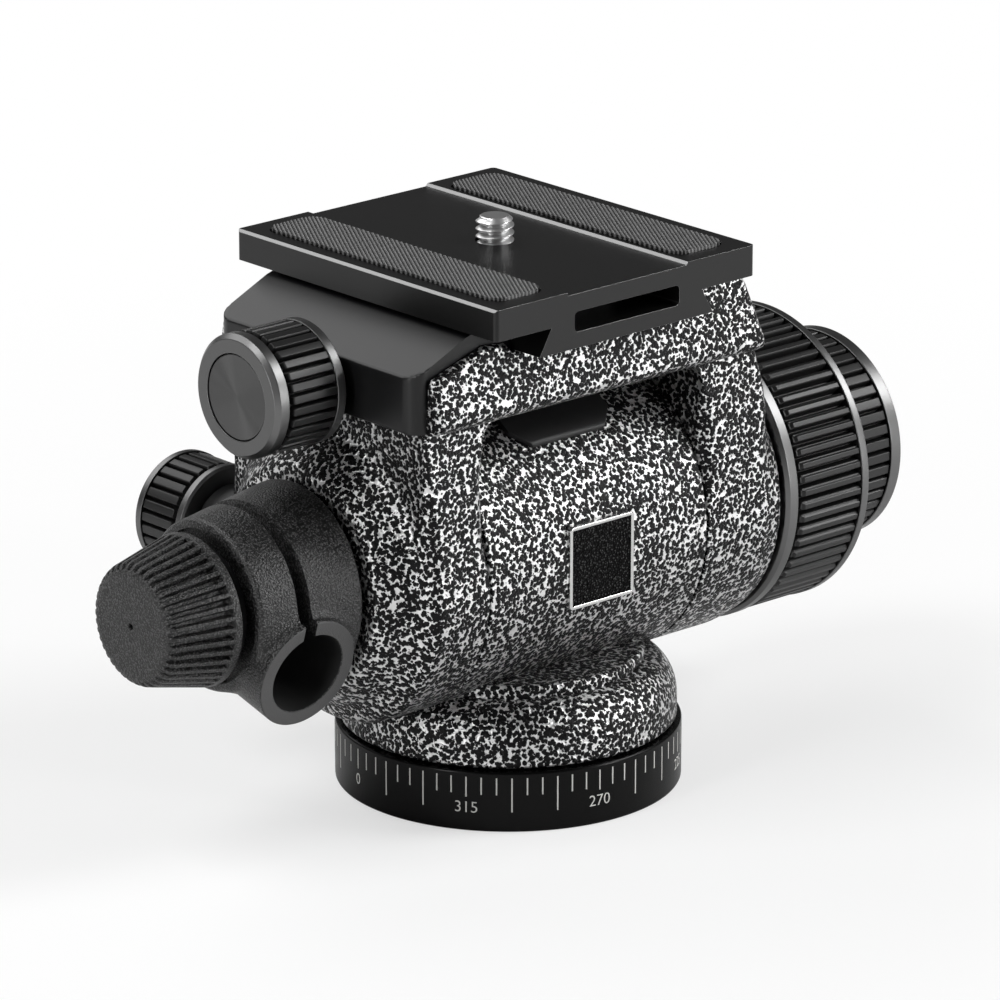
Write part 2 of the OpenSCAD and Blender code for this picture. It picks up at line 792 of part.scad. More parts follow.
module clamp_knob() {
    color("dimgray") on_clamp() difference() {
        union() {
            knob_core(clamp_knob_r, clamp_knob_l, clamp_rim, clamp_rim, clamp_r + fit_gap, clamp_screw_sink);
            translate([0, 0, -clamp_neck + fit_gap]) cylinder(r = clamp_r + 2.5, h = clamp_neck);
        }
        translate([0, 0, -clamp_neck - over])
            cylinder(r = clamp_r + fit_gap, h = clamp_neck + clamp_screw_sink + over);
        translate([0, 0, clamp_knob_l - cap_t]) cylinder(r = clamp_knob_r - cap_wall, h = cap_t + over);
    }
}

module clamp_knob_grip() {
    color("#202020") on_clamp() translate([0, 0, clamp_rim])
        grip(clamp_knob_r - 0.3, clamp_knob_r - grip_t + fit_gap, clamp_knob_l - 2 * clamp_rim, 30, 1.1);
}

module clamp_knob_cap() {
    color("#3a3a3a") on_clamp() translate([0, 0, clamp_knob_l - cap_t])
        cylinder(r = clamp_knob_r - cap_wall - fit_gap, h = cap_t);
}

module clamp_screw() {
    color("silver") x_pin(clamp_r, -clamp_x0 - clamp_screw_sink, insert_x1 + 2, tilt_y, clamp_z);
}

// Quick-release plate

// Places a shape at the middle of the plate
module on_plate() { translate([0, tilt_y, 0]) children(); }

module plate_section() {
    polygon([
        [-foot_x, foot_z], [foot_x, foot_z], [neck_x, flange_z],
        [plate_w / 2, flange_z], [plate_w / 2, plate_z],
        [channel_w / 2, plate_z], [channel_w / 2, plate_z - channel_depth],
        [-channel_w / 2, plate_z - channel_depth], [-channel_w / 2, plate_z],
        [-plate_w / 2, plate_z], [-plate_w / 2, flange_z], [-neck_x, flange_z]
    ]);
}

// A pad or, grown, its pocket
module pad_block(side, z0, z1, grow = 0) {
    on_plate() translate([side * (pad_x0 + pad_x1) / 2, 0, z0]) linear_extrude(z1 - z0)
        round_rect(pad_x1 - pad_x0 + 2 * grow, plate_l - 2 * pad_margin_y + 2 * grow, pad_corner);
}

module plate() {
    color("#1d1d1d") difference() {
        on_plate() translate([0, plate_l / 2, 0]) rotate([90, 0, 0]) linear_extrude(plate_l) plate_section();
        for (side = [-1, 1]) pad_block(side, plate_z + pad_proud - pad_t, plate_z + over, fit_gap);
        on_plate() translate([0, 0, foot_z - over]) {
            cylinder(r = screw_r + fit_gap, h = plate_z);
            cylinder(r = screw_head_r + run_gap, h = over + screw_inset + screw_head_t + fit_gap);
        }
        for (end = [-1, 1])
            on_plate() translate([0, end * (plate_l / 2 - slot_depth / 2 + over / 2), flange_z])
                cube([slot_w, slot_depth + over, slot_h], center = true);
    }
}

module pad_left() { color("#2c2c2c") pad_block(-1, plate_z + pad_proud - pad_t, plate_z + pad_proud); }
module pad_right() { color("#2c2c2c") pad_block(1, plate_z + pad_proud - pad_t, plate_z + pad_proud); }

module camera_screw() {
    color("silver") on_plate() translate([0, 0, foot_z + screw_inset]) difference() {
        union() {
            cylinder(r = screw_head_r, h = screw_head_t);
            cylinder(r = screw_r - screw_relief, h = screw_neck_h);
            translate([0, 0, screw_neck_h]) cylinder(r = screw_r, h = screw_reach);
        }
        translate([-screw_head_r - over, -driver_slot_w / 2, -over])
            cube([2 * (screw_head_r + over), driver_slot_w, over + driver_slot_depth]);
    }
}

// Drag ring and end knob on the right hub

module drag_ring() {
    color("dimgray") difference() {
        on_tilt() translate([0, 0, ring_x0])
            knob_core(ring_r, ring_l, rim_inner, rim_outer, sleeve_r + fit_gap, ring_l + over);
        x_rod(hub_flange_r + run_gap + 0.3, ring_x0 - over, hub_x + hub_flange_t + 0.5);
    }
}

module drag_ring_grip() {
    color("#202020") on_tilt() translate([0, 0, ring_x0 + rim_inner])
        grip(ring_r - 0.3, ring_r - grip_t + fit_gap, ring_l - rim_inner - rim_outer, ring_ribs, 1.2);
}

end_ribs = 47;
end_rim0 = 1;
end_rim1 = 2.6;

module end_knob() {
    color("dimgray") on_tilt() translate([0, 0, end_x0]) difference() {
        knob_core(end_r, end_knob_l, end_rim0, end_rim1, stud_r + fit_gap, rod_reach);
        translate([0, 0, end_knob_l - cap_t]) cylinder(r = end_r - 3, h = cap_t + over);
    }
}

module end_knob_grip() {
    color("#202020") on_tilt() translate([0, 0, end_x0 + end_rim0])
        grip(end_r - 0.3, end_r - grip_t + fit_gap, end_knob_l - end_rim0 - end_rim1, end_ribs, 1.2);
}

module end_knob_cap() { color("#3a3a3a") x_rod(end_r - 3 - fit_gap, end_x1 - cap_t, end_x1); }

// Rod behind the end knob, through the hollow shaft to the damper
module push_rod() { color("silver") x_rod(stud_r, 0, end_x0 + rod_reach); }

// Tilt lock

lock_rim = 1.6;
lock_stud_sink = 8;

// Places a shape made about Z at the lock knob, with its +Z pointing back
module on_lock() { translate([-lock_x, lock_y0, tilt_z]) rotate([-90, 0, 0]) children(); }

module lock_knob() {
    color("dimgray") on_lock()
        knob_core(lock_r, lock_knob_l, lock_rim, lock_rim, lock_stud_r + fit_gap, lock_stud_sink);
}

module lock_knob_grip() {
    color("#202020") on_lock() translate([0, 0, lock_rim])
        grip(lock_r - 0.3, lock_r - grip_t + fit_gap, lock_knob_l - 2 * lock_rim, 28, 1.1);
}

module lock_stud() {
    color("silver") lock_rod(lock_stud_r, tilt_y + collar_r + run_gap, lock_y0 + lock_stud_sink);
}

// Pan bar clamp

// Places a shape at the bar's socket: +Z runs out of the mouth, the tilt axis lies above it
module on_bar() {
    translate([-bar_mid, tilt_y, tilt_z]) rotate([bar_slope, 0, 0])
        translate([0, 0, -bar_drop]) rotate([90, 0, 0]) children();
}

module bar_clamp() {
    color("#191919") difference() {
        union() {
            on_tilt() translate([0, 0, -bar_x1])
                cylinder(r1 = bar_clamp_end_d / 2, r2 = bar_clamp_d / 2, h = bar_clamp_l);
            on_bar() cylinder(r = bar_boss_r, h = bar_face);
        }
        on_bar() translate([0, 0, bar_face - bar_depth]) cylinder(r = bar_r, h = bar_depth + over);
        on_bar() translate([-slit_shift - slit_w / 2, 0, -bar_clamp_d])
            cube([slit_w, bar_clamp_d, 2 * bar_clamp_d]);
        x_rod(stud_r + run_gap, -bar_x1 - over, -bar_x0 + over);
        x_rod(knob_seat_r, -bar_x1 - over, -bar_x1 + knob_seat_t);
    }
}

bar_ribs = 42;
bar_stud_sink = 7;
knob_nose = 2;
groove = 0.7;

// Tapered knob with a ribbed cone
module bar_knob() {
    slope = atan((bar_knob_d - bar_knob_end_d) / 2 / bar_knob_l);
    color("#1c1c1c") difference() {
        on_tilt() translate([0, 0, -bar_knob_x1]) union() {
            cylinder(r1 = bar_knob_end_d / 2 - knob_nose, r2 = bar_knob_end_d / 2, h = knob_nose);
            translate([0, 0, knob_nose])
                cylinder(r1 = bar_knob_end_d / 2, r2 = bar_knob_d / 2, h = bar_knob_l - knob_nose);
        }
        x_rod(stud_r + fit_gap, -bar_knob_x0 - bar_stud_sink, -bar_knob_x0 + over);
        for (i = [0 : bar_ribs - 1])
            on_tilt() rotate([0, 0, 360 * i / bar_ribs]) translate([bar_knob_d / 2, 0, -bar_knob_x0])
                rotate([0, slope, 0]) translate([-groove, -groove / 2, -bar_knob_l + over])
                    cube([3, groove, bar_knob_l + 2 * over]);
    }
}

module bar_knob_washer() {
    color("#0e0e0e")
        x_tube(knob_washer_r, stud_r + fit_gap, -bar_knob_x0, -bar_x1 + knob_seat_t - fit_gap);
}

module bar_stud() { color("silver") x_rod(stud_r, -bar_knob_x0 - bar_stud_sink, -run_gap); }

scale_ring();
base_disc();
king_post();
post_screws();
thrust_washer();
pan_washer();
pan_nut();
housing();
pan_bush();
end_plate_left();
end_plate_right();
end_plate_screws();
tilt_bush_left();
tilt_bush_right();
damper_stator();
badge_frame();
badge_plate();
drum_cover();
platform();
left_arm();
right_arm();
arm_screws();
tilt_shaft();
shaft_screws();
damper_rotor();
shaft_nut();
ring_hub();
ring_hub_screws();
ring_clip();
lock_bush();
clamp_insert();
jaw_pins();
bar_washer();
jaw();
clamp_knob();
clamp_knob_grip();
clamp_knob_cap();
clamp_screw();
plate();
pad_left();
pad_right();
camera_screw();
drag_ring();
drag_ring_grip();
end_knob();
end_knob_grip();
end_knob_cap();
push_rod();
lock_knob();
lock_knob_grip();
lock_stud();
bar_clamp();
bar_knob();
bar_knob_washer();
bar_stud();
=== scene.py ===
"""The looks of a fluid video head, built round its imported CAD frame.

Sizes are in millimetres and become metres where a mesh is made. X runs along the tilt axis to the drag ring,
-Y to the front, and Z up along the pan axis.
"""
import math

import bpy
import numpy as np
from mathutils import Matrix, Vector


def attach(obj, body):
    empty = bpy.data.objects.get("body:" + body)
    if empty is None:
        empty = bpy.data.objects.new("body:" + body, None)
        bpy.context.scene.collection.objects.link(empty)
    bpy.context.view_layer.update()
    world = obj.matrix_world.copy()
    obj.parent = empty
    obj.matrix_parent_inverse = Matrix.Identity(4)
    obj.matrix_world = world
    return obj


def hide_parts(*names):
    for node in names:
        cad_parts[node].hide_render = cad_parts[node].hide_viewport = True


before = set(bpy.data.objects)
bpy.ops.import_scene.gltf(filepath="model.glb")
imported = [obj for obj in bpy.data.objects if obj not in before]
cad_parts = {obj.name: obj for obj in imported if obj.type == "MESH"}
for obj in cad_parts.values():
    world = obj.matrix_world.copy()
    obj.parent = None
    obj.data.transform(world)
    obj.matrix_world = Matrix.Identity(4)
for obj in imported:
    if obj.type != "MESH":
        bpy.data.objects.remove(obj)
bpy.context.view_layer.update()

# Degree scale: a turned aluminium ring round the base, anodised satin black. Its graduations are engraved every
# five degrees and filled with white paint, with plain figures at each 45 degrees, counted clockwise.

RING_R = 29.0
RING_H = 10.4
RING_WALL = 3.4


def rounded(corners, radii, steps=5):
    """A bent line with soft inner corners. Each corner c is cut back along both legs by its radius times
    tan(turn / 2), at most 0.48 of a leg, and bridged by p(t) = c - cut (1 - t)^2 leg_in + cut t^2 leg_out."""
    c = np.asarray(corners, float)
    leg_in, leg_out = c[..., 1:-1, :] - c[..., :-2, :], c[..., 2:, :] - c[..., 1:-1, :]
    long_in = np.linalg.norm(leg_in, axis=-1) + 1e-9
    long_out = np.linalg.norm(leg_out, axis=-1) + 1e-9
    leg_in, leg_out = leg_in / long_in[..., None], leg_out / long_out[..., None]
    turn = np.arccos(np.clip((leg_in * leg_out).sum(-1), -0.999, 1))
    cut = np.minimum(np.asarray(radii) * np.tan(turn / 2), 0.48 * np.minimum(long_in, long_out))[..., None, None]
    t = np.linspace(0, 1, steps + 1)[:, None]
    arcs = c[..., 1:-1, None, :] - leg_in[..., None, :] * cut * (1 - t) ** 2 + leg_out[..., None, :] * cut * t ** 2
    arcs = arcs.reshape(*c.shape[:-2], -1, c.shape[-1])
    return np.concatenate([c[..., :1, :], arcs, c[..., -1:, :]], -2)


def rounded_loop(corners, radii, steps=5):
    """The same for a closed outline."""
    c = np.asarray(corners, float)
    return rounded(np.concatenate([c[-1:], c, c[:1]]), radii, steps)[1:-1]


def lathe(profile, sides=144):
    """Surface of revolution: (along, radius) of the profile turned by t is (along, radius cos t, radius sin t)."""
    t = np.linspace(0, 2 * np.pi, sides, endpoint=False)
    profile = np.asarray(profile, float)
    along, radius = profile[:, :1], profile[:, 1:]
    return np.stack([along + 0 * t, radius * np.cos(t), radius * np.sin(t)], -1)


def stand(axis, origin, grid):
    """Puts (along, u, v) on an axis: x gives (along, u, v), y gives (u, along, v), z gives (u, v, along)."""
    return grid[..., {"x": [0, 1, 2], "y": [1, 0, 2], "z": [1, 2, 0]}[axis]] + np.asarray(origin, float)


def shell(grid, ring=False):
    """Corners, quads and end caps of a grid that closes round its columns. A ring closes round its rows too."""
    rows, columns = grid.shape[:2]
    a = np.arange(rows * columns).reshape(rows, columns)
    caps = [] if ring else [a[0, ::-1], a[-1]]
    if ring:
        a = np.concatenate([a, a[:1]])
    b = np.roll(a, -1, 1)
    return grid.reshape(-1, 3), np.stack([a[:-1], b[:-1], b[1:], a[1:]], -1).reshape(-1, 4), caps


def mesh_of(name, form):
    """A mesh from a closed shell in millimetres. The sign of its volume turns it outward, and a corner's normal is the
    area-weighted mean of its faces, which keeps a flat face flat beside a soft edge."""
    corners, quads, caps = form
    fans = [np.stack([np.full(len(cap) - 2, cap[0]), cap[1:-1], cap[2:]], -1) for cap in caps]
    tris = np.concatenate([quads[:, [0, 1, 2]], quads[:, [0, 2, 3]], *fans])
    a, b, c = corners[tris[:, 0]], corners[tris[:, 1]], corners[tris[:, 2]]
    cross = np.cross(b - a, c - a)
    outward = 1 if (a * cross).sum() > 0 else -1
    normal = np.zeros_like(corners)
    for k in range(3):
        np.add.at(normal, tris[:, k], cross * outward)
    polygons = quads[:, ::outward].tolist() + [cap[::outward].tolist() for cap in caps]
    mesh = bpy.data.meshes.new(name)
    mesh.from_pydata(corners * 0.001, [], polygons)
    mesh.polygons.foreach_set("use_smooth", np.ones(len(polygons), bool))
    mesh.normals_split_custom_set_from_vertices(normal / (np.linalg.norm(normal, axis=1, keepdims=True) + 1e-12))
    return mesh


def piece(name, form, finish, body, *stands_for, slot=None):
    """Makes a mesh or a shell an object of the head: its finish, the body it moves with, and the CAD nodes it stands
    for."""
    mesh = form if isinstance(form, bpy.types.Mesh) else mesh_of(name, form)
    made = bpy.data.objects.new(name, mesh)
    bpy.context.scene.collection.objects.link(made)
    mesh.materials.append(finish)
    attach(made, body)
    if stands_for:
        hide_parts(*stands_for)
    return made


def linear(colour):
    """Linear RGBA of an sRGB hex colour."""
    c = np.array([int(colour[i:i + 2], 16) for i in (1, 3, 5)]) / 255
    return (*np.where(c <= 0.04045, c / 12.92, ((c + 0.055) / 1.055) ** 2.4).tolist(), 1.0)


def surface(name, colour, roughness, grain=None, **sockets):
    """A material on one Principled shader, with constants set on the shader's own sockets. Its grain (size, depth) in
    millimetres is noise of that size in Object coordinates, as relief of that depth."""
    made = bpy.data.materials.new(name)
    made.use_nodes = True
    shader = made.node_tree.nodes["Principled BSDF"]
    for socket, value in {"Base Color": linear(colour), "Roughness": roughness, **sockets}.items():
        shader.inputs[socket.replace("_", " ")].default_value = value
    if grain:
        place = add(made, "ShaderNodeTexCoord", out="Object")
        noise = add(made, "ShaderNodeTexNoise", {"Vector": place, "Scale": 1000 / grain[0], "Detail": 2.0})
        add(made, "ShaderNodeBump", {"Height": noise, "Strength": 1.0, "Distance": grain[1] * 0.001}, to="Normal")
    return made


def add(made, kind, inputs=None, to=None, out=0, end="Principled BSDF", **settings):
    """Adds a node to a material or world: settings are its properties, inputs its values or links. Its output out is
    returned, and linked to the socket to of the node called end."""
    nodes, links = made.node_tree.nodes, made.node_tree.links
    new = nodes.new(kind)
    for key, value in settings.items():
        setattr(new, key, value)
    for key, value in (inputs or {}).items():
        if isinstance(value, bpy.types.NodeSocket):
            links.new(value, new.inputs[key])
        else:
            new.inputs[key].default_value = value
    if to:
        links.new(new.outputs[out], nodes[end].inputs[to])
    return new.outputs[out]


# Anodised aluminium, satin black, fine-turned: a dark, even skin with a soft sheen.
scale_black = surface("satin_black_anodising", "#040404", 0.26, (0.35, 0.004), Specular_IOR_Level=0.14)
ring_profile = rounded_loop([(0, RING_R - RING_WALL), (0, RING_R), (RING_H, RING_R), (RING_H, RING_R - RING_WALL)],
                            [0.3, 0.5, 0.45, 0.3], 4)
piece("scale_ring_turned", shell(stand("z", (0, 0, 0), lathe(ring_profile, 240)), ring=True), scale_black, "base",
      "scale_ring", slot="scale_black")

# White paint in the engraving: drawn 0.03 mm proud, because a filled groove lies level and would not show.
white_fill = surface("white_paint_fill", "#d8d8d4", 0.6, (0.2, 0.01))
ZERO_AT = 169.2
TICK_TOP = 9.45
TICK_W = 0.24
FIGURE_Z = 3.3
steps_of_five = np.arange(72)
value = (-5 * steps_of_five) % 360
tick_l = np.where(value % 45 == 0, 3.45, np.where(value % 15 == 0, 5.9, 2.95))
tick_angle = np.radians(ZERO_AT + 5 * steps_of_five)
corner_sign = np.array([[i, j, k] for i in (-1, 1) for j in (0, 1) for k in (-1, 1)], float)
tick_turn = tick_angle[:, None] + corner_sign[:, 0] * TICK_W / 2 / RING_R
tick_r = RING_R - 0.03 + 0.06 * corner_sign[:, 1] + 0 * tick_turn
tick_z = TICK_TOP - tick_l[:, None] / 2 + corner_sign[:, 2] * tick_l[:, None] / 2
tick_points = np.stack([tick_r * np.cos(tick_turn), tick_r * np.sin(tick_turn), tick_z], -1).reshape(-1, 3)
box_faces = np.array([[0, 1, 3, 2], [4, 6, 7, 5], [0, 4, 5, 1], [2, 3, 7, 6], [0, 2, 6, 4], [1, 5, 7, 3]])
tick_faces = (box_faces[None] + 8 * steps_of_five[:, None, None]).reshape(-1, 4)
mark_points, mark_faces = [tick_points], tick_faces.tolist()
figure = bpy.data.curves.new("figure", "FONT")
figure.size, figure.align_x, figure.extrude, figure.offset = 2.75, "CENTER", 0.03, -0.02
figure_holder = bpy.data.objects.new("figure", figure)
bpy.context.scene.collection.objects.link(figure_holder)
for k in range(8):
    figure.body = str(-45 * k % 360)
    bpy.context.view_layer.update()
    flat = figure_holder.evaluated_get(bpy.context.evaluated_depsgraph_get()).to_mesh()
    co = np.empty(len(flat.vertices) * 3)
    flat.vertices.foreach_get("co", co)
    co = co.reshape(-1, 3)
    turn = np.radians(ZERO_AT + 45 * k) + co[:, 0] / RING_R
    offset = sum(map(len, mark_points))
    mark_points.append(np.stack([(RING_R + co[:, 2]) * np.cos(turn), (RING_R + co[:, 2]) * np.sin(turn),
                                 FIGURE_Z + co[:, 1]], -1))
    mark_faces += [[i + offset for i in p.vertices] for p in flat.polygons]
    figure_holder.to_mesh_clear()
bpy.data.objects.remove(figure_holder)
marks = bpy.data.meshes.new("scale_marks")
marks.from_pydata(np.concatenate(mark_points) * 0.001, [], mark_faces)
piece("scale_marks", marks, white_fill, "base")

# Base plate, pan post and their hardware: turned aluminium and steel inside the scale ring, with a thin washer
# of low-friction plastic that the dome turns on. Only the underside can be seen.


def dress(finish, slot, *nodes):
    """Shows CAD nodes as they are, in a finish."""
    for name in nodes:
        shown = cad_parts[name]
        shown.data.materials.clear()
        shown.data.materials.append(finish)


# Blasted and anodised aluminium: black, fine and matt.
black_blasted = surface("blasted_black_anodising", "#090909", 0.34, (0.22, 0.012), Specular_IOR_Level=0.36)
# Machined steel: grey metal with a faint grain from the tool.
machined_steel = surface("machined_steel", "#8f9092", 0.32, (0.3, 0.003), Metallic=1.0)
# Machined aluminium, uncoated: paler than the steel.
bare_aluminium = surface("machined_aluminium", "#b4b5b8", 0.38, (0.4, 0.003), Metallic=1.0)
# Sintered bronze: warm, dull and slightly porous.
bronze = surface("sintered_bronze", "#a37c45", 0.45, (0.25, 0.01), Metallic=1.0)
# Low-friction washer plastic: white and waxy.
washer_white = surface("washer_plastic", "#d9d8d2", 0.5, (0.5, 0.004))
# Moulded black plastic with a fine spark-eroded texture.
moulded_black = surface("moulded_black_plastic", "#0f0f10", 0.48, (0.3, 0.01))
dress(black_blasted, "black_anodised", "base_disc")
dress(machined_steel, "steel", "king_post", "post_screws", "pan_washer", "pan_nut")
dress(washer_white, "white_plastic", "thrust_washer")
dress(bronze, "bronze", "pan_bush")

# Housing: one aluminium casting, a dome that turns on the base with the drum of the damper above it. It is finished
# in a two-tone crackle enamel that breaks into glossy black islands on silver as it dries.

TILT = np.array([0, 3.3, 42.9])
DRUM_R = 26.0
DRUM_X = 24.0
DOME_Z = 10.7
DOME_R = 28.2
NECK_R = 22.7
NECK_Z = 23.0
DRUM_BORE = 21.0
BUSH_BORE = 12.05
BADGE_POCKET = 14.3
POCKET_Y = -21.1
# Crackle enamel: cell centres 0.7 mm apart, warped by finer noise. Within about 0.6 of that from a centre the enamel
# is a black island, and what is left between the islands is a broken net of silver. The net is metallic and a little
# lower than the islands.
enamel = surface("crackle_enamel", "#808080", 0.3, Specular_IOR_Level=0.14)
place = add(enamel, "ShaderNodeTexCoord", out="Object")
warp = add(enamel, "ShaderNodeTexNoise", {"Vector": place, "Scale": 1000 / 0.65, "Detail": 3.0, "Roughness": 0.6},
           out="Color")
bent = add(enamel, "ShaderNodeVectorMath", {0: warp, 1: (0.0007,) * 3, 2: place}, operation="MULTIPLY_ADD")
cells = add(enamel, "ShaderNodeTexVoronoi", {"Vector": bent, "Scale": 1000 / 0.7})
fine = add(enamel, "ShaderNodeTexNoise", {"Vector": place, "Scale": 1000 / 0.28, "Detail": 1.0})
ragged = add(enamel, "ShaderNodeMath", {0: fine, 1: 0.35, 2: cells}, operation="MULTIPLY_ADD")
black = add(enamel, "ShaderNodeMapRange", {"Value": ragged, "From Min": 0.85, "From Max": 0.77})
add(enamel, "ShaderNodeMix", {0: black, 6: linear("#dedede"), 7: linear("#040405")}, to="Base Color", out=2,
    data_type="RGBA")
add(enamel, "ShaderNodeMath", {0: black, 1: -0.9, 2: 0.9}, to="Metallic", operation="MULTIPLY_ADD")
add(enamel, "ShaderNodeMath", {0: black, 1: 0.05, 2: 0.3}, to="Roughness", operation="MULTIPLY_ADD")
add(enamel, "ShaderNodeBump", {"Height": ragged, "Strength": 1.0, "Distance": 0.0002}, to="Normal", invert=True)


def bake(made):
    """Fixes an object's modifiers in its mesh."""
    bpy.context.view_layer.update()
    graph = bpy.context.evaluated_depsgraph_get()
    made.data = bpy.data.meshes.new_from_object(made.evaluated_get(graph), preserve_all_data_layers=True,
                                                depsgraph=graph)
    made.modifiers.clear()


def carve(made, cuts, join=(), soft=0.0, angle=35, edges=None):
    """Adds and cuts away solids, softens the sharp edges that are left, and fixes the result in the mesh. The
    softened edges can take a finish of their own."""
    tools = []
    for kind, mesh in [("UNION", m) for m in join] + [("DIFFERENCE", m) for m in cuts]:
        tool = bpy.data.objects.new("tool", mesh)
        bpy.context.scene.collection.objects.link(tool)
        tools.append(tool)
        mesh.materials.append(made.data.materials[0])
        step = made.modifiers.new("solid", "BOOLEAN")
        step.operation, step.solver, step.object, step.material_mode = kind, "EXACT", tool, "TRANSFER"
    if soft:
        edge = made.modifiers.new("edge", "BEVEL")
        edge.width, edge.segments, edge.limit_method = soft * 0.001, 3, "ANGLE"
        edge.angle_limit, edge.use_clamp_overlap = math.radians(angle), True
        if edges:
            made.data.materials.append(edges)
            edge.material = 1
    bake(made)
    if "custom_normal" in made.data.attributes:
        made.data.attributes.remove(made.data.attributes["custom_normal"])
    made.data.polygons.foreach_set("use_smooth", np.ones(len(made.data.polygons), bool))
    made.data.set_sharp_from_angle(angle=math.radians(angle))
    level = made.modifiers.new("level", "WEIGHTED_NORMAL")
    level.keep_sharp = True
    bake(made)
    for tool in tools:
        bpy.data.objects.remove(tool)


def rod(axis, origin, radius, start, end, sides=96):
    """A plain round bar, as a mesh to cut with."""
    return mesh_of("rod", shell(stand(axis, origin, lathe([(start, radius), (end, radius)], sides))))


def prism(section, axis, start, end):
    """A straight bar: a closed outline carried along an axis. Its two coordinates are the other axes, in order."""
    at = "xyz".index(axis)
    rows = np.insert(np.repeat(np.asarray(section, float)[None], 2, 0), at, 0.0, -1)
    rows[..., at] += np.array([start, end])[:, None]
    return mesh_of("prism", shell(rows))


def oblong(x0, x1, y0, y1):
    """Corners of a rectangle, in order."""
    return [(x0, y0), (x1, y0), (x1, y1), (x0, y1)]


def block(x0, x1, y0, y1, z0, z1):
    """A plain box, as a mesh to cut with."""
    return prism(oblong(x0, x1, z0, z1), "y", y0, y1)


lean = np.radians(np.linspace(0, 90, 14))
dome_curve = np.stack([DOME_Z + 3.5 + 6.8 * np.sin(lean), NECK_R + (DOME_R - NECK_R) * np.cos(lean)], -1)
dome_foot = rounded([(DOME_Z, 10), (DOME_Z, DOME_R), tuple(dome_curve[0])], [0.7])
dome_top = rounded([tuple(dome_curve[-1]), (NECK_Z, NECK_R), (NECK_Z, 10)], [0.8])
dome_profile = np.concatenate([dome_foot, dome_curve[1:-1], dome_top])
dome_holder = piece("dome", shell(stand("z", (0, 0, 0), lathe(dome_profile, 200))), enamel, "pan")
carve(dome_holder, [rod("x", TILT, DRUM_R + 0.5, DRUM_X, 60, 240), rod("x", TILT, DRUM_R + 0.5, -60, -DRUM_X, 240)])
dome = dome_holder.data
bpy.data.objects.remove(dome_holder)
drum_profile = rounded([(-DRUM_X, 20), (-DRUM_X, DRUM_R), (DRUM_X, DRUM_R), (DRUM_X, 20)], [0.45, 0.45])
housing = piece("housing_cast", shell(stand("x", TILT, lathe(drum_profile, 240))), enamel, "pan", "housing",
                slot="speckle_paint")
half = BADGE_POCKET / 2
pocket = block(-half, half, -30, POCKET_Y, TILT[2] - half, TILT[2] + half)
carve(housing, [rod("x", TILT, DRUM_BORE, -30, 30), rod("z", (0, 0, 0), BUSH_BORE, 5, 30), pocket], join=[dome])

# Inside the drum and on the tilt shaft: end plates, bushes, damper plates and screws. They are hidden in use, so
# they are shown as their solids, machined and left bare.

dress(bare_aluminium, "raw_aluminium", "end_plate_left", "end_plate_right", "damper_stator", "damper_rotor",
      "ring_hub")
dress(machined_steel, "steel", "end_plate_screws", "tilt_shaft", "shaft_screws", "shaft_nut", "ring_hub_screws",
      "ring_clip", "arm_screws", "jaw_pins", "clamp_screw", "push_rod", "lock_stud", "bar_stud")
dress(bronze, "bronze", "tilt_bush_left", "tilt_bush_right", "clamp_insert")

# Badge: a square frame of bright-plated metal let into the drum, round a panel of grained black plastic. The panel is
# left bare.

BADGE = 14.2
BADGE_Y = -22.7
FRAME_W = 0.64
# Bright plating, polished before it: clear reflections with a faint orange-peel.
bright_plate = surface("bright_plating", "#c4c4c3", 0.25, (0.4, 0.002), Metallic=1.0)
frame_path = rounded_loop(oblong(-1, 1, -1, 1), 0.07, 4) * (BADGE - FRAME_W) / 2
out = np.roll(frame_path, -1, 0) - np.roll(frame_path, 1, 0)
out = np.stack([out[:, 1], -out[:, 0]], -1) / np.linalg.norm(out, axis=1, keepdims=True)
frame_section = rounded_loop(oblong(-FRAME_W / 2, FRAME_W / 2, -0.3, 1.55), [0.2, 0.2, 0.05, 0.05], 4)
across, deep = frame_section[:, 0], frame_section[:, 1]
badge_ring = np.stack([frame_path[:, None, 0] + out[:, None, 0] * across, BADGE_Y + deep + 0 * out[:, :1],
                       TILT[2] + frame_path[:, None, 1] + out[:, None, 1] * across], -1)
piece("badge_frame_plated", shell(badge_ring, ring=True), bright_plate, "pan", "badge_frame", slot="zinc")
# Leather-grained plastic: black, with fine beads 0.45 mm apart whose tops are painted lighter grey, a painted
# highlight.
grained_black = surface("grained_black_plastic", "#020202", 0.25, Specular_IOR_Level=0.04)
place = add(grained_black, "ShaderNodeTexCoord", out="Object")
beads = add(grained_black, "ShaderNodeTexVoronoi", {"Vector": place, "Scale": 1000 / 0.45})
add(grained_black, "ShaderNodeBump", {"Height": beads, "Strength": 1.0, "Distance": 0.0003}, to="Normal", invert=True)
# Painted highlight: the bead tops are coloured lighter grey, as if they caught the light.
bead_painted_highlight = add(grained_black, "ShaderNodeMapRange", {"Value": beads, "From Min": 0.4, "From Max": 0.15})
add(grained_black, "ShaderNodeMix", {0: bead_painted_highlight, 6: linear("#020202"), 7: linear("#4a4a4a")}, to="Base Color", out=2,
    data_type="RGBA")
half = BADGE / 2 - FRAME_W + 0.04
panel = block(-half, half, BADGE_Y, BADGE_Y + 1.6, TILT[2] - half, TILT[2] + half)
panel.name = "badge_panel_bare"
carve(piece("badge_panel_bare", panel, grained_black, "pan", "badge_plate", slot="badge_black"), [], soft=0.15)

# Drum cover: a thin moulded strip on the drum's upper front, under the platform, with its lower corners cut off.
# It is pressed into two holes in the casting.

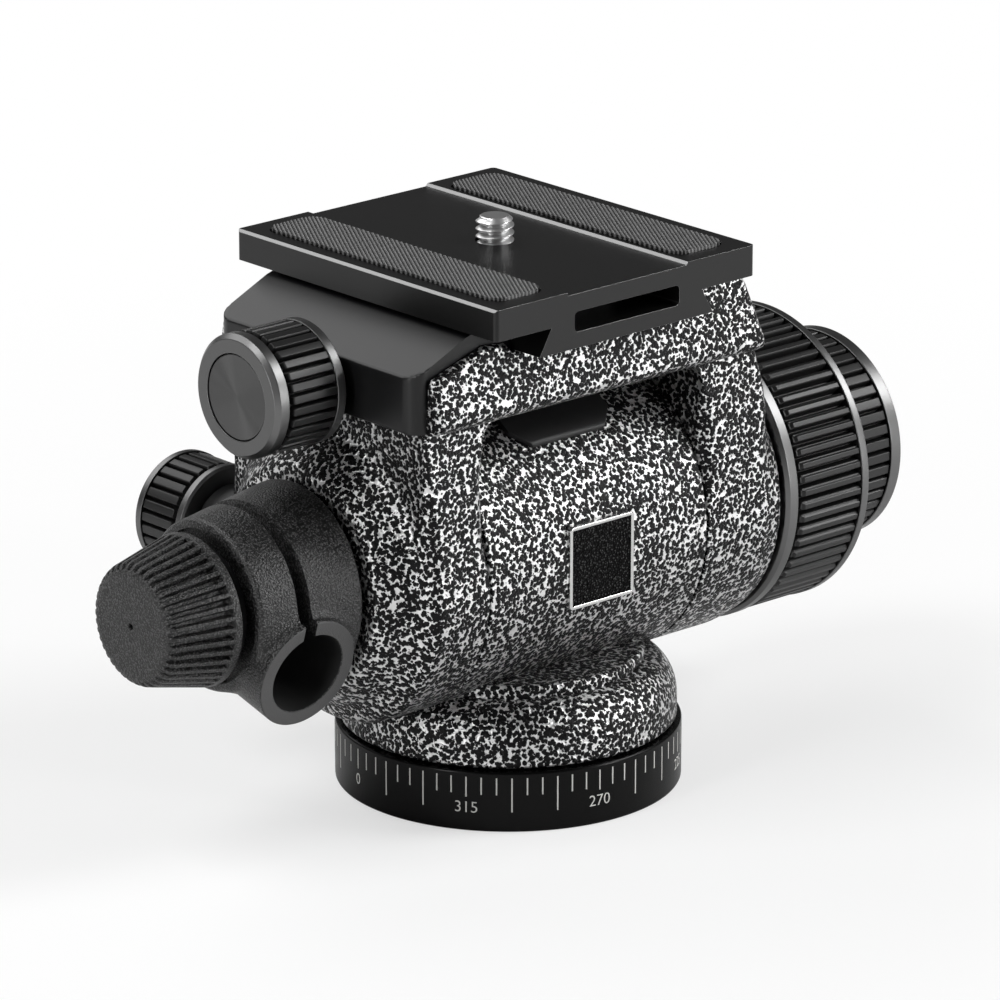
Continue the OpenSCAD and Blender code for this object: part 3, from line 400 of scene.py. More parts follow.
COVER_R = DRUM_R + 0.05
COVER_T = 0.85
COVER_RUN = 17.8
COVER_LOW = 47
cover_run = np.concatenate([[0, 0.06, 0.2, 0.45], np.linspace(0.9, 17.4, 30), [17.6, 17.75, COVER_RUN]])
end_round = np.minimum(cover_run, COVER_RUN - cover_run).clip(0, 0.45) / 0.45
cover_half = np.interp(cover_run, [0, 3.4, COVER_RUN], [7.8, 11.0, 11.0])
cover_thick = COVER_T * np.sqrt(1 - (1 - end_round) ** 2 * 0.999)
cover_section = rounded_loop(oblong(-1, 1, 0, 1), [0.001, 0.001, 0.06, 0.06], 4)
cover_x = cover_section[:, 0] * cover_half[:, None]
cover_r = COVER_R + cover_section[:, 1] * cover_thick[:, None]
cover_angle = math.radians(COVER_LOW) + cover_run[:, None] / DRUM_R
cover = np.stack([cover_x, TILT[1] - cover_r * np.cos(cover_angle), TILT[2] + cover_r * np.sin(cover_angle)], -1)
piece("drum_cover_moulded", shell(cover), moulded_black, "pan", "drum_cover", slot="black_plastic")

# Platform: the cast cradle under the quick-release plate, with a rounded nose at each end, a fixed dovetail jaw on
# the right and a pocket for the moving jaw on the left. Same crackle enamel as the housing.

SEAM_Z = 71.4
SIDE_X = 36.5
JAW_ROOM = 24.75


def ease(depth, radius):
    """How far a rounded edge falls back at a depth from its face: radius - sqrt(radius^2 - (radius - depth)^2)."""
    left = np.clip(radius - depth, 0, radius)
    return radius - np.sqrt(radius ** 2 - left ** 2)


def dense(line, step):
    """The same bent line with extra points, so that none lie further apart than the step."""
    run = np.concatenate([[0], np.cumsum(np.linalg.norm(np.diff(line, axis=0), axis=1))])
    at = np.union1d(run, np.arange(0, run[-1], step))
    return np.stack([np.interp(at, run, line[:, i]) for i in range(line.shape[1])], -1)


def platform_reach(x, z):
    """Half-length of the platform: 27.6 at the lip, which rounds under by an ellipse 2.6 high and 3.6 deep, then a
    face that leans back by 2.4 over 12.85 of height. The corners in plan are rounded to 1.2."""
    rise = z - SEAM_Z
    lip = 3.6 * (1 - np.sqrt(1 - np.clip((2.6 - rise) / 2.6, 0, 1) ** 2))
    right_face = SIDE_X - 4.6 * rise / 15.45
    face = 27.6 - lip - 2.4 * np.clip(rise - 2.6, 0, None) / 12.85
    return face - ease(x + SIDE_X, 1.2) - ease(right_face - x, 1.2)


platform_keys = [(-SIDE_X, SEAM_Z, -SIDE_X, SEAM_Z + 0.01), (-35.5, SEAM_Z, -SIDE_X, 80.8),
                 (-25, SEAM_Z, -25.05, 84.45), (-20.6, SEAM_Z, -20.65, 84.15), (-19.5, SEAM_Z, -19.6, 82.75),
                 (19.2, SEAM_Z, 19.15, 82.75), (30, SEAM_Z, 16.8, 86.85), (34, SEAM_Z, 31.9, 86.85),
                 (SIDE_X, SEAM_Z, SIDE_X, SEAM_Z + 0.01)]
# The section at each key runs from a lower to an upper point (x, z, x, z). Between them the end faces stand at the
# platform's reach from its middle, eased at their lower and upper edges.
line = dense(rounded(platform_keys, [2.0, 1.6, 1.2, 0.3, 0.3, 0.3, 2.2], 4), 1.0)[:, None]
lower, upper = line[..., :2], line[..., 2:]
tall = np.linalg.norm(upper - lower, axis=-1) + 1e-6
fold = np.array([0, 0.04, 0.15, 0.35, 0.65])
edge_low, edge_high = np.minimum(0.3, 0.45 * tall), np.minimum(0.8, 0.45 * tall)
flat_part = np.linspace(0, 1, 26) * (1 - (edge_low + edge_high) / tall)
share = np.concatenate([fold * edge_low / tall, edge_low / tall + flat_part, 1 - fold[::-1] * edge_high / tall], 1)
spot = lower + (upper - lower) * share[..., None]
reach = platform_reach(spot[..., 0], spot[..., 1])
reach = reach - ease(share * tall, edge_low) - ease((1 - share) * tall, edge_high)
front, back = [np.stack([spot[..., 0], TILT[1] + way * reach, spot[..., 1]], -1) for way in (-1, 1)]
platform = piece("platform_cast", shell(np.concatenate([front, back[:, ::-1]], 1)), enamel, "saddle", "platform",
                 slot="speckle_paint")
carve(platform, [block(-45, -19.6, TILT[1] - JAW_ROOM, TILT[1] + JAW_ROOM, 76.05, 95)])

# Arms: two cheeks cast with round hubs, screwed up into the platform and clamped on the tilt shaft. The left hub
# rises to a boss for the pan bar clamp, and the right one runs out to the drag ring.

ARM_X = 24.3
HUB_X = 42.3
FILLET = 3.6
WASHER_BORE = 15.05
FLANGE_BORE = 10.3
SHAFT_BORE = 6.05


def round_tilt(x, r, t):
    """Points at x along the tilt axis, at the radius r from it and the angle t round it."""
    return np.stack([x + 0 * r, TILT[1] + r * np.cos(t), TILT[2] + r * np.sin(t)], -1)


def arm(side, foot, tip, shoulder, foot_below, soft_tip, flare):
    """A lathe about the tilt axis whose profile changes with the direction t. The cheek's outline lies at
    26 / (|cos t| + 0.07 sin t) above the axis, at most 36 / sin t, and on the hub's circle below it. Where the
    outline stands well clear of the boss its outer face is flat, and elsewhere it falls straight into the boss. Below
    its top the outer face leans out by the flare times the fall, up to 3 mm. The shoulder's edge is soft beside the
    boss and crisp at the platform, and the inner edge is round between the drum and the platform."""
    t = np.radians(np.arange(0, 360, 1.0))
    up = np.sin(t)
    rise = np.where(up > 0, np.minimum(DRUM_R / (np.abs(np.cos(t)) + 0.0702 * np.abs(up)), 36 / np.maximum(up, 0.01)),
                    DRUM_R)
    clear = np.clip((rise - foot[1] - 1.5) / 6, 0, 1)
    clear = clear * clear * (3 - 2 * clear)
    out = np.clip(flare * (28.5 - rise * up), 0, 3.0)
    put = lambda x, r: np.stack([x + 0 * t, r + 0 * t], -1)
    corners = np.stack([put(ARM_X, 0.5), put(ARM_X, rise), put(shoulder + (SIDE_X - shoulder) * clear + out, rise),
                        put(foot_below[0] + (foot[0] - foot_below[0]) * clear + out,
                            foot_below[1] + (foot[1] - foot_below[1]) * clear),
                        put(HUB_X, tip), put(HUB_X, 0.5)], 1)
    edge = np.interp(rise * up, [0, 12, 24], [4.6, 3.0, 1.0])
    inner = np.interp(rise * up, [2, 9, 20, 25], [0.25, 3.0, 3.0, 0.25])
    profile = rounded(corners, np.stack([inner, edge, 4.0 + 0 * t, soft_tip + 0 * t], 1), 9)
    grid = round_tilt(side * profile[..., 0], profile[..., 1], t[:, None])
    return mesh_of("arm", shell(np.swapaxes(grid, 0, 1)))


def gusset(side):
    """The hollow fillet between an arm's inner face and the platform: a quarter circle, as deep as the arm."""
    bend = np.radians(np.linspace(0, 90, 10))
    arc = np.stack([ARM_X - FILLET + FILLET * np.cos(bend), SEAM_Z - FILLET + FILLET * np.sin(bend)], -1)
    section = np.concatenate([arc, [(ARM_X + 1.5, SEAM_Z), (ARM_X + 1.5, SEAM_Z - FILLET)]])
    deep = DRUM_R - 2 * (section[:, 1] - TILT[2]) / 28.5
    ends = [np.stack([side * section[:, 0], TILT[1] + way * (deep - 0.02), section[:, 1]], -1) for way in (-1, 1)]
    return mesh_of("gusset", shell(np.stack(ends)))


above = lambda: block(-60, 60, -60, 60, SEAM_Z, 120)
left_arm = piece("left_arm_cast", arm(-1, (SIDE_X, 24.0), 18.6, 35.4, (37.4, 22.4), 1.6, 0.0), enamel, "saddle",
                 "left_arm", slot="speckle_paint")
carve(left_arm, [above(), rod("x", TILT, WASHER_BORE, -50, -38.3), rod("x", TILT, FLANGE_BORE, -37.3, -20),
                 rod("x", TILT, SHAFT_BORE, -40, -30)], join=[gusset(-1)])
right_arm = piece("right_arm_cast", arm(1, (SIDE_X, 25.4), 24.4, 34.5, (38.6, 25.2), 0.7, 0.28), enamel, "saddle",
                  "right_arm", slot="speckle_paint")
carve(right_arm, [above(), rod("x", TILT, SHAFT_BORE, 20, 50)], join=[gusset(1)])
dress(moulded_black, "black_plastic", "bar_washer")

# Moving jaw: an anodised aluminium bar that the clamp knob draws against the plate's dovetail. Milled to its section,
# with the outer corners rounded in plan.

JAW_X = -39.2
JAW_HALF = 24.45
CLAMP_Z = 76.4
PIN_Y = 14.95
PIN_Z = 79.5
PIN_BORE = 2.05
SCREW_BORE = 3.3
# Satin black anodising on a milled bar: dark, with edges that catch the light.
jaw_black = surface("satin_black_anodised_bar", "#0e0e0f", 0.36, (0.3, 0.006), Specular_IOR_Level=0.35)
jaw_line = rounded_loop([(JAW_X, 71.9), (JAW_X, 81.3), (-28.3, 86.25), (-26.3, 86.85), (-16.8, 86.85), (-19.15, 82.8),
                         (-19.7, 82.8), (-19.7, 76.15), (-36.8, 76.15), (-36.8, 71.9)],
                        [0.5, 0.8, 1.2, 1.2, 0.3, 0.1, 0.1, 0.3, 0.3, 0.6], 4)
jaw_line = dense(np.concatenate([jaw_line, jaw_line[:1]]), 0.6)[:-1]
from_end = np.array([0, 0.12, 0.35, 0.7, 1.2, 1.9, 3.0])
jaw_y = np.concatenate([from_end - JAW_HALF, JAW_HALF - from_end[::-1]])
plan_limit = JAW_X + ease(JAW_HALF - np.abs(jaw_y), 3.0)
jaw_grid = np.stack([np.maximum(jaw_line[:, 0], plan_limit[:, None]), TILT[1] + jaw_y[:, None] + 0 * jaw_line[:, 0],
                     jaw_line[:, 1] + 0 * jaw_y[:, None]], -1)
jaw = piece("jaw_milled", shell(jaw_grid), jaw_black, "jaw", "jaw", slot="black_anodised")
pins = [rod("x", (0, TILT[1] + side * PIN_Y, PIN_Z), PIN_BORE, -34.8, -10, 32) for side in (-1, 1)]
carve(jaw, [rod("x", (0, TILT[1], CLAMP_Z), SCREW_BORE, -60, -10, 48), *pins],
      join=[block(-36.9, -19.75, TILT[1] - 3.9, TILT[1] + 3.9, 72.5, 77.4)], soft=0.35)

# Clamp knob: a turned, dark-anodised body with a bevelled rim at each end, a ribbed rubber grip between the rims and
# a thin fine-turned cap let into its face.

CLAMP_AXIS = (0, TILT[1], CLAMP_Z)
KNOB_X = -40.8
KNOB_END = -55.5
KNOB_R = 10.3
WIDE_RIB = [(0.5, 0.44, 1.0, 0.7)]
# Dark anodised aluminium, turned: grey metal with a soft sheen.
gunmetal = surface("gunmetal_anodising", "#626262", 0.36, (0.16, 0.006), Metallic=1.0)
# Satin aluminium, cut after anodising: paler bands with a fine grain.
satin_rim = surface("satin_cut_aluminium", "#6c6c6c", 0.38, (0.16, 0.006), Metallic=1.0)


def repaint(made, finish, where):
    """Gives the faces that where(centre, normal) picks a finish of their own. Centres are in millimetres."""
    faces = made.data.polygons
    centre, normal, kind = np.empty(len(faces) * 3), np.empty(len(faces) * 3), np.empty(len(faces), np.int32)
    faces.foreach_get("center", centre)
    faces.foreach_get("normal", normal)
    faces.foreach_get("material_index", kind)
    if finish.name not in made.data.materials:
        made.data.materials.append(finish)
    picked = where(centre.reshape(-1, 3) * 1000, normal.reshape(-1, 3))
    kind[picked] = made.data.materials.find(finish.name)
    faces.foreach_set("material_index", kind)


def turned(knob, axis, origin, profile, rim, sides=160):
    """A turned knob that closes on itself: a closed (along, radius) outline carried round an axis. Beyond the rim's
    radius its round faces are cut bright."""
    grid = stand(axis, origin, lathe(profile, sides))
    made = piece(f"{knob}_turned", shell(grid, ring=True), gunmetal, knob, knob, slot="gunmetal")
    at = "xyz".index(axis)
    repaint(made, satin_rim, lambda centre, normal: (np.abs(normal[:, at]) < 0.97) & (
        np.linalg.norm(np.delete(centre - origin, at, 1), axis=1) > rim))


# Moulded rubber: black and slightly rough, with no clear reflection.
grip_rubber = surface("moulded_grip_rubber", "#121212", 0.42, (0.18, 0.008), Specular_IOR_Level=0.45)


def grip(name, axis, origin, start, end, inner, low, high, count, knob, bars):
    """A moulded grip of bars along its axis. A bar (centre, half, level, gap) stands where |p - centre| < half, p
    being the share of the pitch round the grip, and rises to that level from low to high. It starts that gap after
    the start, with a half-round end, its half-width being half sqrt(1 - (1 - e)^2), and runs out square at the end."""
    t = np.linspace(0, 2 * np.pi, count * 16, endpoint=False)
    p = (t * count / (2 * np.pi)) % 1
    fold = np.array([0, 0.05, 0.15, 0.3, 0.5])
    s = np.concatenate([start + fold, np.arange(start + 0.7, end - 0.65, 0.25), end - fold[::-1]])[:, None]
    height = np.zeros((len(s), len(t)))
    for centre, half, level, gap in bars:
        run = np.clip((s - start - gap) / (half * np.pi * high / count), 0, 1)
        edge = np.clip((half * np.sqrt(1 - (1 - run) ** 2) - np.abs(p - centre)) / 0.1, 0, 1)
        height = np.maximum(height, level * edge * edge * (3 - 2 * edge) * np.clip((end - s) / 0.15, 0, 1))
    outer = low + (high - low) * height
    u, v = np.cos(t), np.sin(t)
    put = lambda along, r: np.stack([along + 0 * t, (r + 0 * along) * u, (r + 0 * along) * v], -1)
    grid = np.concatenate([put(np.array([[start]]), inner), put(s, outer), put(np.array([[end]]), inner)])
    piece(name, shell(stand(axis, origin, grid), ring=True), grip_rubber, knob, f"{knob}_grip", slot="grip_rubber")


def cap(knob, origin, back, front, radius, finish):
    """The cap in a knob's face: a disc from the back to the front plane, with a soft front edge."""
    edge = rounded([(back, radius), (front, radius), (front, 0.05)], [0.25])
    grid = stand("x", origin, lathe(np.concatenate([[(back, 0.05)], edge])))
    piece(f"{knob}_face", shell(grid), finish, knob, f"{knob}_cap", slot="gunmetal")


# Fine turning seen end-on: rings 0.12 mm apart round the clamp knob's axis, and a sheen that runs out from the centre
# in rays, because light glances off each ring only where the ring faces it.
turned_face = surface("fine_turned_gunmetal", "#565656", 0.34, Metallic=1.0, Anisotropic=0.9)
place = add(turned_face, "ShaderNodeTexCoord", out="Object")
spoke = add(turned_face, "ShaderNodeVectorMath", {0: place, 1: 0.001 * np.array(CLAMP_AXIS)}, operation="SUBTRACT")
add(turned_face, "ShaderNodeVectorMath", {0: spoke, 1: (1.0, 0.0, 0.0)}, to="Tangent", operation="CROSS_PRODUCT")
spoke = add(turned_face, "ShaderNodeVectorMath", {0: spoke, 1: (0.0, 1.0, 1.0)}, operation="MULTIPLY")
rings = add(turned_face, "ShaderNodeVectorMath", {0: spoke}, out="Value", operation="LENGTH")
rings = add(turned_face, "ShaderNodeMath", {0: rings, 1: 2 * math.pi / 0.00012}, operation="MULTIPLY")
rings = add(turned_face, "ShaderNodeMath", {0: rings}, operation="SINE")
add(turned_face, "ShaderNodeBump", {"Height": rings, "Strength": 0.2, "Distance": 0.000004}, to="Normal")
turned("clamp_knob", "x", CLAMP_AXIS, rounded_loop(
    [(-39.35, 3.1), (-39.35, 5.5), (KNOB_X, 5.5), (KNOB_X, KNOB_R - 0.4), (KNOB_X - 0.4, KNOB_R),
     (KNOB_X - 2, KNOB_R), (KNOB_X - 2, 7.8), (KNOB_END + 2.6, 7.8), (KNOB_END + 2.6, KNOB_R),
     (KNOB_END + 0.8, KNOB_R), (KNOB_END, KNOB_R - 0.8), (KNOB_END, 7.2), (KNOB_END + 1, 7.2), (KNOB_END + 1, 3.1)],
    [0.1, 0.3, 0.3, 0.2, 0.2, 0.15, 0.1, 0.1, 0.15, 0.3, 0.25, 0.15, 0.05, 0.05], 3), KNOB_R - 0.8)
grip("clamp_knob_ribs", "x", CLAMP_AXIS, KNOB_END + 2.62, KNOB_X - 2.02, 7.85, 8.9, 10.25, 32, "clamp_knob", WIDE_RIB)
cap("clamp_knob", CLAMP_AXIS, KNOB_END + 0.98, KNOB_END + 0.15, 7.1, turned_face)

# Quick-release plate: milled aluminium, anodised black, with a dovetail foot, a shallow channel along its top and
# slots in the ends. The broken edges show as fine bright lines.

PLATE_X = 28.4
PLATE_HALF = 31.9
PLATE_TOP = 92.4
PLATE_LOW = 87.2
CHAMFER = 0.42
FOOT_X = 19.05
FOOT_Z = 82.8
ROOT_X = 16.5
CHANNEL_X = 13.0
CHANNEL = 0.5
PAD_AT = 19.9
HEAD_BORE = 7.7
plate_side = [(-FOOT_X, FOOT_Z), (FOOT_X, FOOT_Z), (ROOT_X, PLATE_LOW), (PLATE_X, PLATE_LOW), (PLATE_X, PLATE_TOP),
              (CHANNEL_X + CHAMFER, PLATE_TOP), (CHANNEL_X, PLATE_TOP - 0.45), (CHANNEL_X, PLATE_TOP - CHANNEL),
              (-CHANNEL_X, PLATE_TOP - CHANNEL), (-CHANNEL_X, PLATE_TOP), (CHAMFER - PLATE_X, PLATE_TOP),
              (-PLATE_X, PLATE_TOP - CHAMFER), (-PLATE_X, PLATE_LOW), (-ROOT_X, PLATE_LOW)]
plate = piece("plate_milled", prism(plate_side, "y", TILT[1] - PLATE_HALF, TILT[1] + PLATE_HALF), black_blasted,
              "plate", "plate", slot="black_anodised")


def corner_waste(side, end, radius=0.8):
    """What a cutter takes off a plan corner of the plate: the corner's square outside a quarter circle."""
    bend = np.radians(np.linspace(0, 90, 9))
    arc = np.stack([PLATE_X - radius + radius * np.cos(bend), PLATE_HALF - radius + radius * np.sin(bend)], -1)
    outline = np.concatenate([arc, [(PLATE_X - radius, PLATE_HALF + 1), (PLATE_X + 1, PLATE_HALF + 1),
                                    (PLATE_X + 1, PLATE_HALF - radius)]])
    return prism(outline * (side, end) + (0, TILT[1]), "z", 86.6, 95)


corners_cut = [corner_waste(side, end) for side in (-1, 1) for end in (-1, 1)]
slot_line = rounded_loop(oblong(-11.5, 11.5, 85.5, 88.9), 0.9, 4)
slots = [prism(slot_line, "y", *sorted((TILT[1] + end * 21.5, TILT[1] + end * 40))) for end in (-1, 1)]
pocket_line = rounded_loop(oblong(-5.6, 5.6, -28.6, 28.6), 3.1, 6)
pockets = [prism(pocket_line + (side * PAD_AT, TILT[1]), "z", 91.6, 95) for side in (-1, 1)]
# Edges broken after anodising: the aluminium under it shows as a fine line.
cut_edge = surface("bare_cut_edge", "#7e7e7e", 0.35, (0.2, 0.002), Metallic=1.0)
carve(plate, [*corners_cut, *pockets, *slots, rod("z", (0, TILT[1], 0), SCREW_BORE, 80, 95, 64),
              rod("z", (0, TILT[1], 0), HEAD_BORE, 80, 86.1, 96)], soft=0.15, edges=cut_edge)
repaint(plate, cut_edge, lambda centre, normal: normal @ (-0.7071, 0, 0.7071) > 0.97)

# Pads: two strips of black rubber let into the plate's top, moulded with a fine diagonal rib. The ribs grip the foot
# of a camera.

PAD_TOP = 93.0
PAD_W = 11.0
PAD_L = 57.0
# Ribs per millimetre along X and Y: 0.64 mm apart, and aslant.
RIB_WAVE = np.array([1.32, -0.84])
# Moulded pad rubber: dull, with the rib tops painted grey as painted light and the grooves between painted black as
# painted shade.
pad_rubber = surface("moulded_pad_rubber", "#222222", 0.5)
place = add(pad_rubber, "ShaderNodeTexCoord", out="Object")
phase = add(pad_rubber, "ShaderNodeVectorMath", {0: place, 1: (*(1000 * RIB_WAVE), 0)}, out="Value",
            operation="DOT_PRODUCT")
phase = add(pad_rubber, "ShaderNodeMath", {0: phase, 1: 0.5}, operation="PINGPONG")
# Painted light and shade: grey on the rib tops and black in the grooves, following the ribs' phase and broken up by
# noise.
rib_painted_light_and_shade = add(pad_rubber, "ShaderNodeTexNoise", {"Vector": place, "Scale": 1000 / 0.3, "Detail": 1.0})
rib_painted_light_and_shade = add(pad_rubber, "ShaderNodeMath", {0: rib_painted_light_and_shade, 1: 0.4, 2: phase}, operation="MULTIPLY_ADD")
rib_painted_light_and_shade = add(pad_rubber, "ShaderNodeMapRange", {"Value": rib_painted_light_and_shade, "From Min": 0.38, "From Max": 0.72})
add(pad_rubber, "ShaderNodeMix", {0: rib_painted_light_and_shade, 6: linear("#080808"), 7: linear("#808080")}, to="Base Color", out=2,
    data_type="RGBA")


def pad(name, side, node):
    """A flat strip with its plan corners rounded to 3 mm. Its top falls by 0.2 (1 - q) between diagonal ribs, where q
    rises from 0 to 1 and back as the wave's phase (x, y) . wave runs through a whole number."""
    u = np.linspace(-1, 1, 111)[:, None] * PAD_W / 2
    v = np.linspace(-1, 1, 421)[None] * PAD_L / 2
    shrink = ease(PAD_L / 2 - np.abs(v), 3.0)
    x = side * PAD_AT + u * (PAD_W / 2 - shrink) / (PAD_W / 2)
    y = TILT[1] + v + 0 * u
    q = 1 - np.abs((x * RIB_WAVE[0] + y * RIB_WAVE[1]) % 1 * 2 - 1)
    edge = np.minimum((PAD_W / 2 - np.abs(u)), PAD_L / 2 - np.abs(v))
    fall = 0.2 * (1 - q) * np.clip(edge / 0.4, 0, 1)
    z = PAD_TOP - fall - ease(edge, 0.3) - np.where(edge <= 0, 1.0, 0)
    grid = np.stack([x, y, z], -1)
    rows, columns = grid.shape[:2]
    a = np.arange(rows * columns).reshape(rows, columns)
    quads = np.stack([a[:-1, :-1], a[1:, :-1], a[1:, 1:], a[:-1, 1:]], -1).reshape(-1, 4)
    rim = np.concatenate([a[0, :-1], a[:-1, -1], a[-1, :0:-1], a[:0:-1, 0]])
    piece(name, (grid.reshape(-1, 3), quads, [rim]), pad_rubber, "plate", node, slot="pad_rubber")


pad("pad_left_moulded", -1, "pad_left")
pad("pad_right_moulded", 1, "pad_right")

# Camera screw: a captive quarter-inch screw, rolled thread, zinc-plated. Its slotted head sits in a recess under the
# plate.

SCREW_R = 3.175
PITCH = 1.27
SCREW_TOP = 96.1
HEAD_R = 7.475
HEAD_TOP = 86.0
# Zinc plating over a rolled thread: pale grey metal with soft reflections.
zinc = surface("bright_zinc_plating", "#d2d2d2", 0.36, (0.25, 0.012), Metallic=1.0)
turn = np.linspace(0, 2 * np.pi, 72, endpoint=False)
along = np.concatenate([[83.2, 83.21], np.linspace(83.3, 85.9, 3), [85.99, HEAD_TOP, 86.01],
                        np.linspace(86.1, 91.3, 4), np.linspace(91.4, SCREW_TOP, 95)])[:, None]
wave = np.abs(((along / PITCH - turn / (2 * np.pi)) % 1) * 2 - 1)
thread = SCREW_R - 0.72 * np.clip((wave - 0.12) / 0.76, 0, 1)
thread = np.minimum(thread, 2.3 + 0.9 * np.clip((SCREW_TOP - along) / 0.8, 0, 1))
screw_radius = np.where(along < HEAD_TOP, HEAD_R, np.where(along < 91.35, SCREW_R - 0.5, thread))
screw_grid = np.stack([screw_radius * np.cos(turn), TILT[1] + screw_radius * np.sin(turn), along + 0 * turn], -1)
screw = piece("camera_screw_rolled", shell(screw_grid), zinc, "camera_screw", "camera_screw", slot="zinc")
carve(screw, [block(-9, 9, TILT[1] - 1, TILT[1] + 1, 82, 84.6)])

# Drag ring: the large ring that sets the tilt drag. A turned, dark-anodised ring with a bevelled inner rim and a
# narrow outer one, and a rubber sleeve of stepped bars between them.

DRAG_X = 42.8
DRAG_END = 62.2
DRAG_R = 25.8
turned("drag_ring", "x", TILT, rounded_loop(
    [(DRAG_X, 17.85), (DRAG_X, DRAG_R - 0.6), (DRAG_X + 0.6, DRAG_R), (DRAG_X + 2.5, DRAG_R), (DRAG_X + 2.5, 23.3),
     (DRAG_END - 1.8, 23.3), (DRAG_END - 1.8, DRAG_R), (DRAG_END - 0.4, DRAG_R), (DRAG_END, DRAG_R - 0.4),
     (DRAG_END, 12.05), (45.8, 12.05), (45.8, 17.85)],
    [0.1, 0.3, 0.3, 0.2, 0.1, 0.1, 0.2, 0.2, 0.2, 0.2, 0.05, 0.05], 3), DRAG_R - 0.8, 220)
grip("drag_ring_bars", "x", TILT, DRAG_X + 2.52, DRAG_END - 1.82, 23.35, 24.0, 25.6, 68, "drag_ring",
     [(0.5, 0.42, 0.75, 0.8), (0.56, 0.32, 1.0, 1.5)])

# End knob: a smaller turned knob at the end of the tilt shaft, made like the ring. Its ribs are plain, and a dark cap
# is let into its face.

END_X = 63.7
END_END = 77.3
END_R = 18.4
turned("end_knob", "x", TILT, rounded_loop(
    [(END_X, 2.05), (END_X, END_R - 0.7), (END_X + 0.3, END_R - 0.3), (END_X + 1, END_R - 0.3), (END_X + 1, 15.9),
     (END_END - 2.6, 15.9), (END_END - 2.6, END_R), (END_END - 0.4, END_R), (END_END, END_R - 0.4), (END_END, 15.4),
     (END_END - 1, 15.4), (END_END - 1, 2.05)],
    [0.1, 0.2, 0.15, 0.15, 0.1, 0.1, 0.2, 0.2, 0.2, 0.12, 0.05, 0.05], 3), END_R - 0.8)
grip("end_knob_bars", "x", TILT, END_X + 1.02, END_END - 2.62, 15.95, 16.8, 18.1, 47, "end_knob", WIDE_RIB)
cap("end_knob", TILT, END_END - 0.98, END_END - 0.1, 15.3, gunmetal)

# Tilt lock: a small knob behind the left arm, turned and gripped like the others. It runs on a black moulded
# ferrule.

LOCK_AXIS = (-33.4, 0, TILT[2])
LOCK_Y = 32.6
LOCK_END = 44.7
LOCK_R = 10.1
dress(moulded_black, "black_plastic", "lock_bush")
turned("lock_knob", "y", LOCK_AXIS, rounded_loop(
    [(LOCK_Y, 2.0), (LOCK_Y, LOCK_R - 0.4), (LOCK_Y + 0.4, LOCK_R), (LOCK_Y + 1.6, LOCK_R), (LOCK_Y + 1.6, 7.6),
     (LOCK_END - 1.6, 7.6), (LOCK_END - 1.6, LOCK_R), (LOCK_END - 0.4, LOCK_R), (LOCK_END, LOCK_R - 0.4),
     (LOCK_END, 2.0)], [0.1, 0.2, 0.2, 0.15, 0.1, 0.1, 0.15, 0.2, 0.2, 0.1], 3), LOCK_R - 0.6)
grip("lock_knob_ribs", "y", LOCK_AXIS, LOCK_Y + 1.62, LOCK_END - 1.62, 7.65, 8.6, 9.9, 28, "lock_knob", WIDE_RIB)

# Pan bar clamp: a die-cast cone on the left hub with a boss for the bar, run into it with a hollow web and split
# above the bore. Finished in sanded black powder coat, with the boss's face machined after it.

BAR_WAY = np.array([0, -0.9613, -0.2756])
BAR_AT = np.array([-53.4, 4.802, 37.661])
BAR_FACE = 16.75
BOSS_R = 9.65
BORE_R = 7.0
SLIT_AT = -1.2
SLIT_W = 2.4
SEAT_R = 12.8
STUD_BORE = 2.6
CLAMP_X0 = -43.5
CLAMP_X1 = -62.7
# Sanded powder coat: black, with grains of 0.3 mm that stand up, their raised tops painted grey as painted glints.
powder = surface("sanded_black_powder_coat", "#0c0c0c", 0.38, Specular_IOR_Level=0.5)
place = add(powder, "ShaderNodeTexCoord", out="Object")
speck = add(powder, "ShaderNodeTexVoronoi", {"Vector": place, "Scale": 1000 / 0.34})
fine = add(powder, "ShaderNodeTexNoise", {"Vector": place, "Scale": 1000 / 0.3, "Detail": 2.0})
rough = add(powder, "ShaderNodeMath", {0: speck, 1: -0.8, 2: fine}, operation="MULTIPLY_ADD")
add(powder, "ShaderNodeBump", {"Height": rough, "Strength": 1.0, "Distance": 0.00012}, to="Normal")
# Painted highlight: the raised grain tops are coloured grey, standing for glints off the grains.
grain_painted_glint = add(powder, "ShaderNodeMapRange", {"Value": rough, "From Min": 0.1, "From Max": 0.34})
add(powder, "ShaderNodeMix", {0: grain_painted_glint, 6: linear("#010101"), 7: linear("#4c4c4c")}, to="Base Color", out=2,
    data_type="RGBA")


def web(x, t):
    """Radius of the clamp about the tilt axis, by bisection of f = 0. f is the smooth least of the cone's and the
    boss's distances, min(a, b) - max(k - |a - b|, 0)^2 / 4k with k = 3 mm, which fills the corner between them."""
    low, high = np.zeros(np.broadcast(x, t).shape), np.full(np.broadcast(x, t).shape, 30.0)
    cone = np.interp(-x, [-CLAMP_X0, -CLAMP_X1], [16.9, 14.2])
    for _ in range(40):
        middle = (low + high) / 2
        spot = round_tilt(x, middle, t) - BAR_AT
        ahead = spot @ BAR_WAY
        aside = np.linalg.norm(spot - ahead[..., None] * BAR_WAY, axis=-1)
        a, b = middle - cone, np.maximum(np.maximum(aside - BOSS_R + 0.9, ahead - BAR_FACE + 2.2), -ahead)
        f = np.minimum(a, b) - np.clip(3.0 - np.abs(a - b), 0, None) ** 2 / 12
        low, high = np.where(f < 0, middle, low), np.where(f < 0, high, middle)
    return low


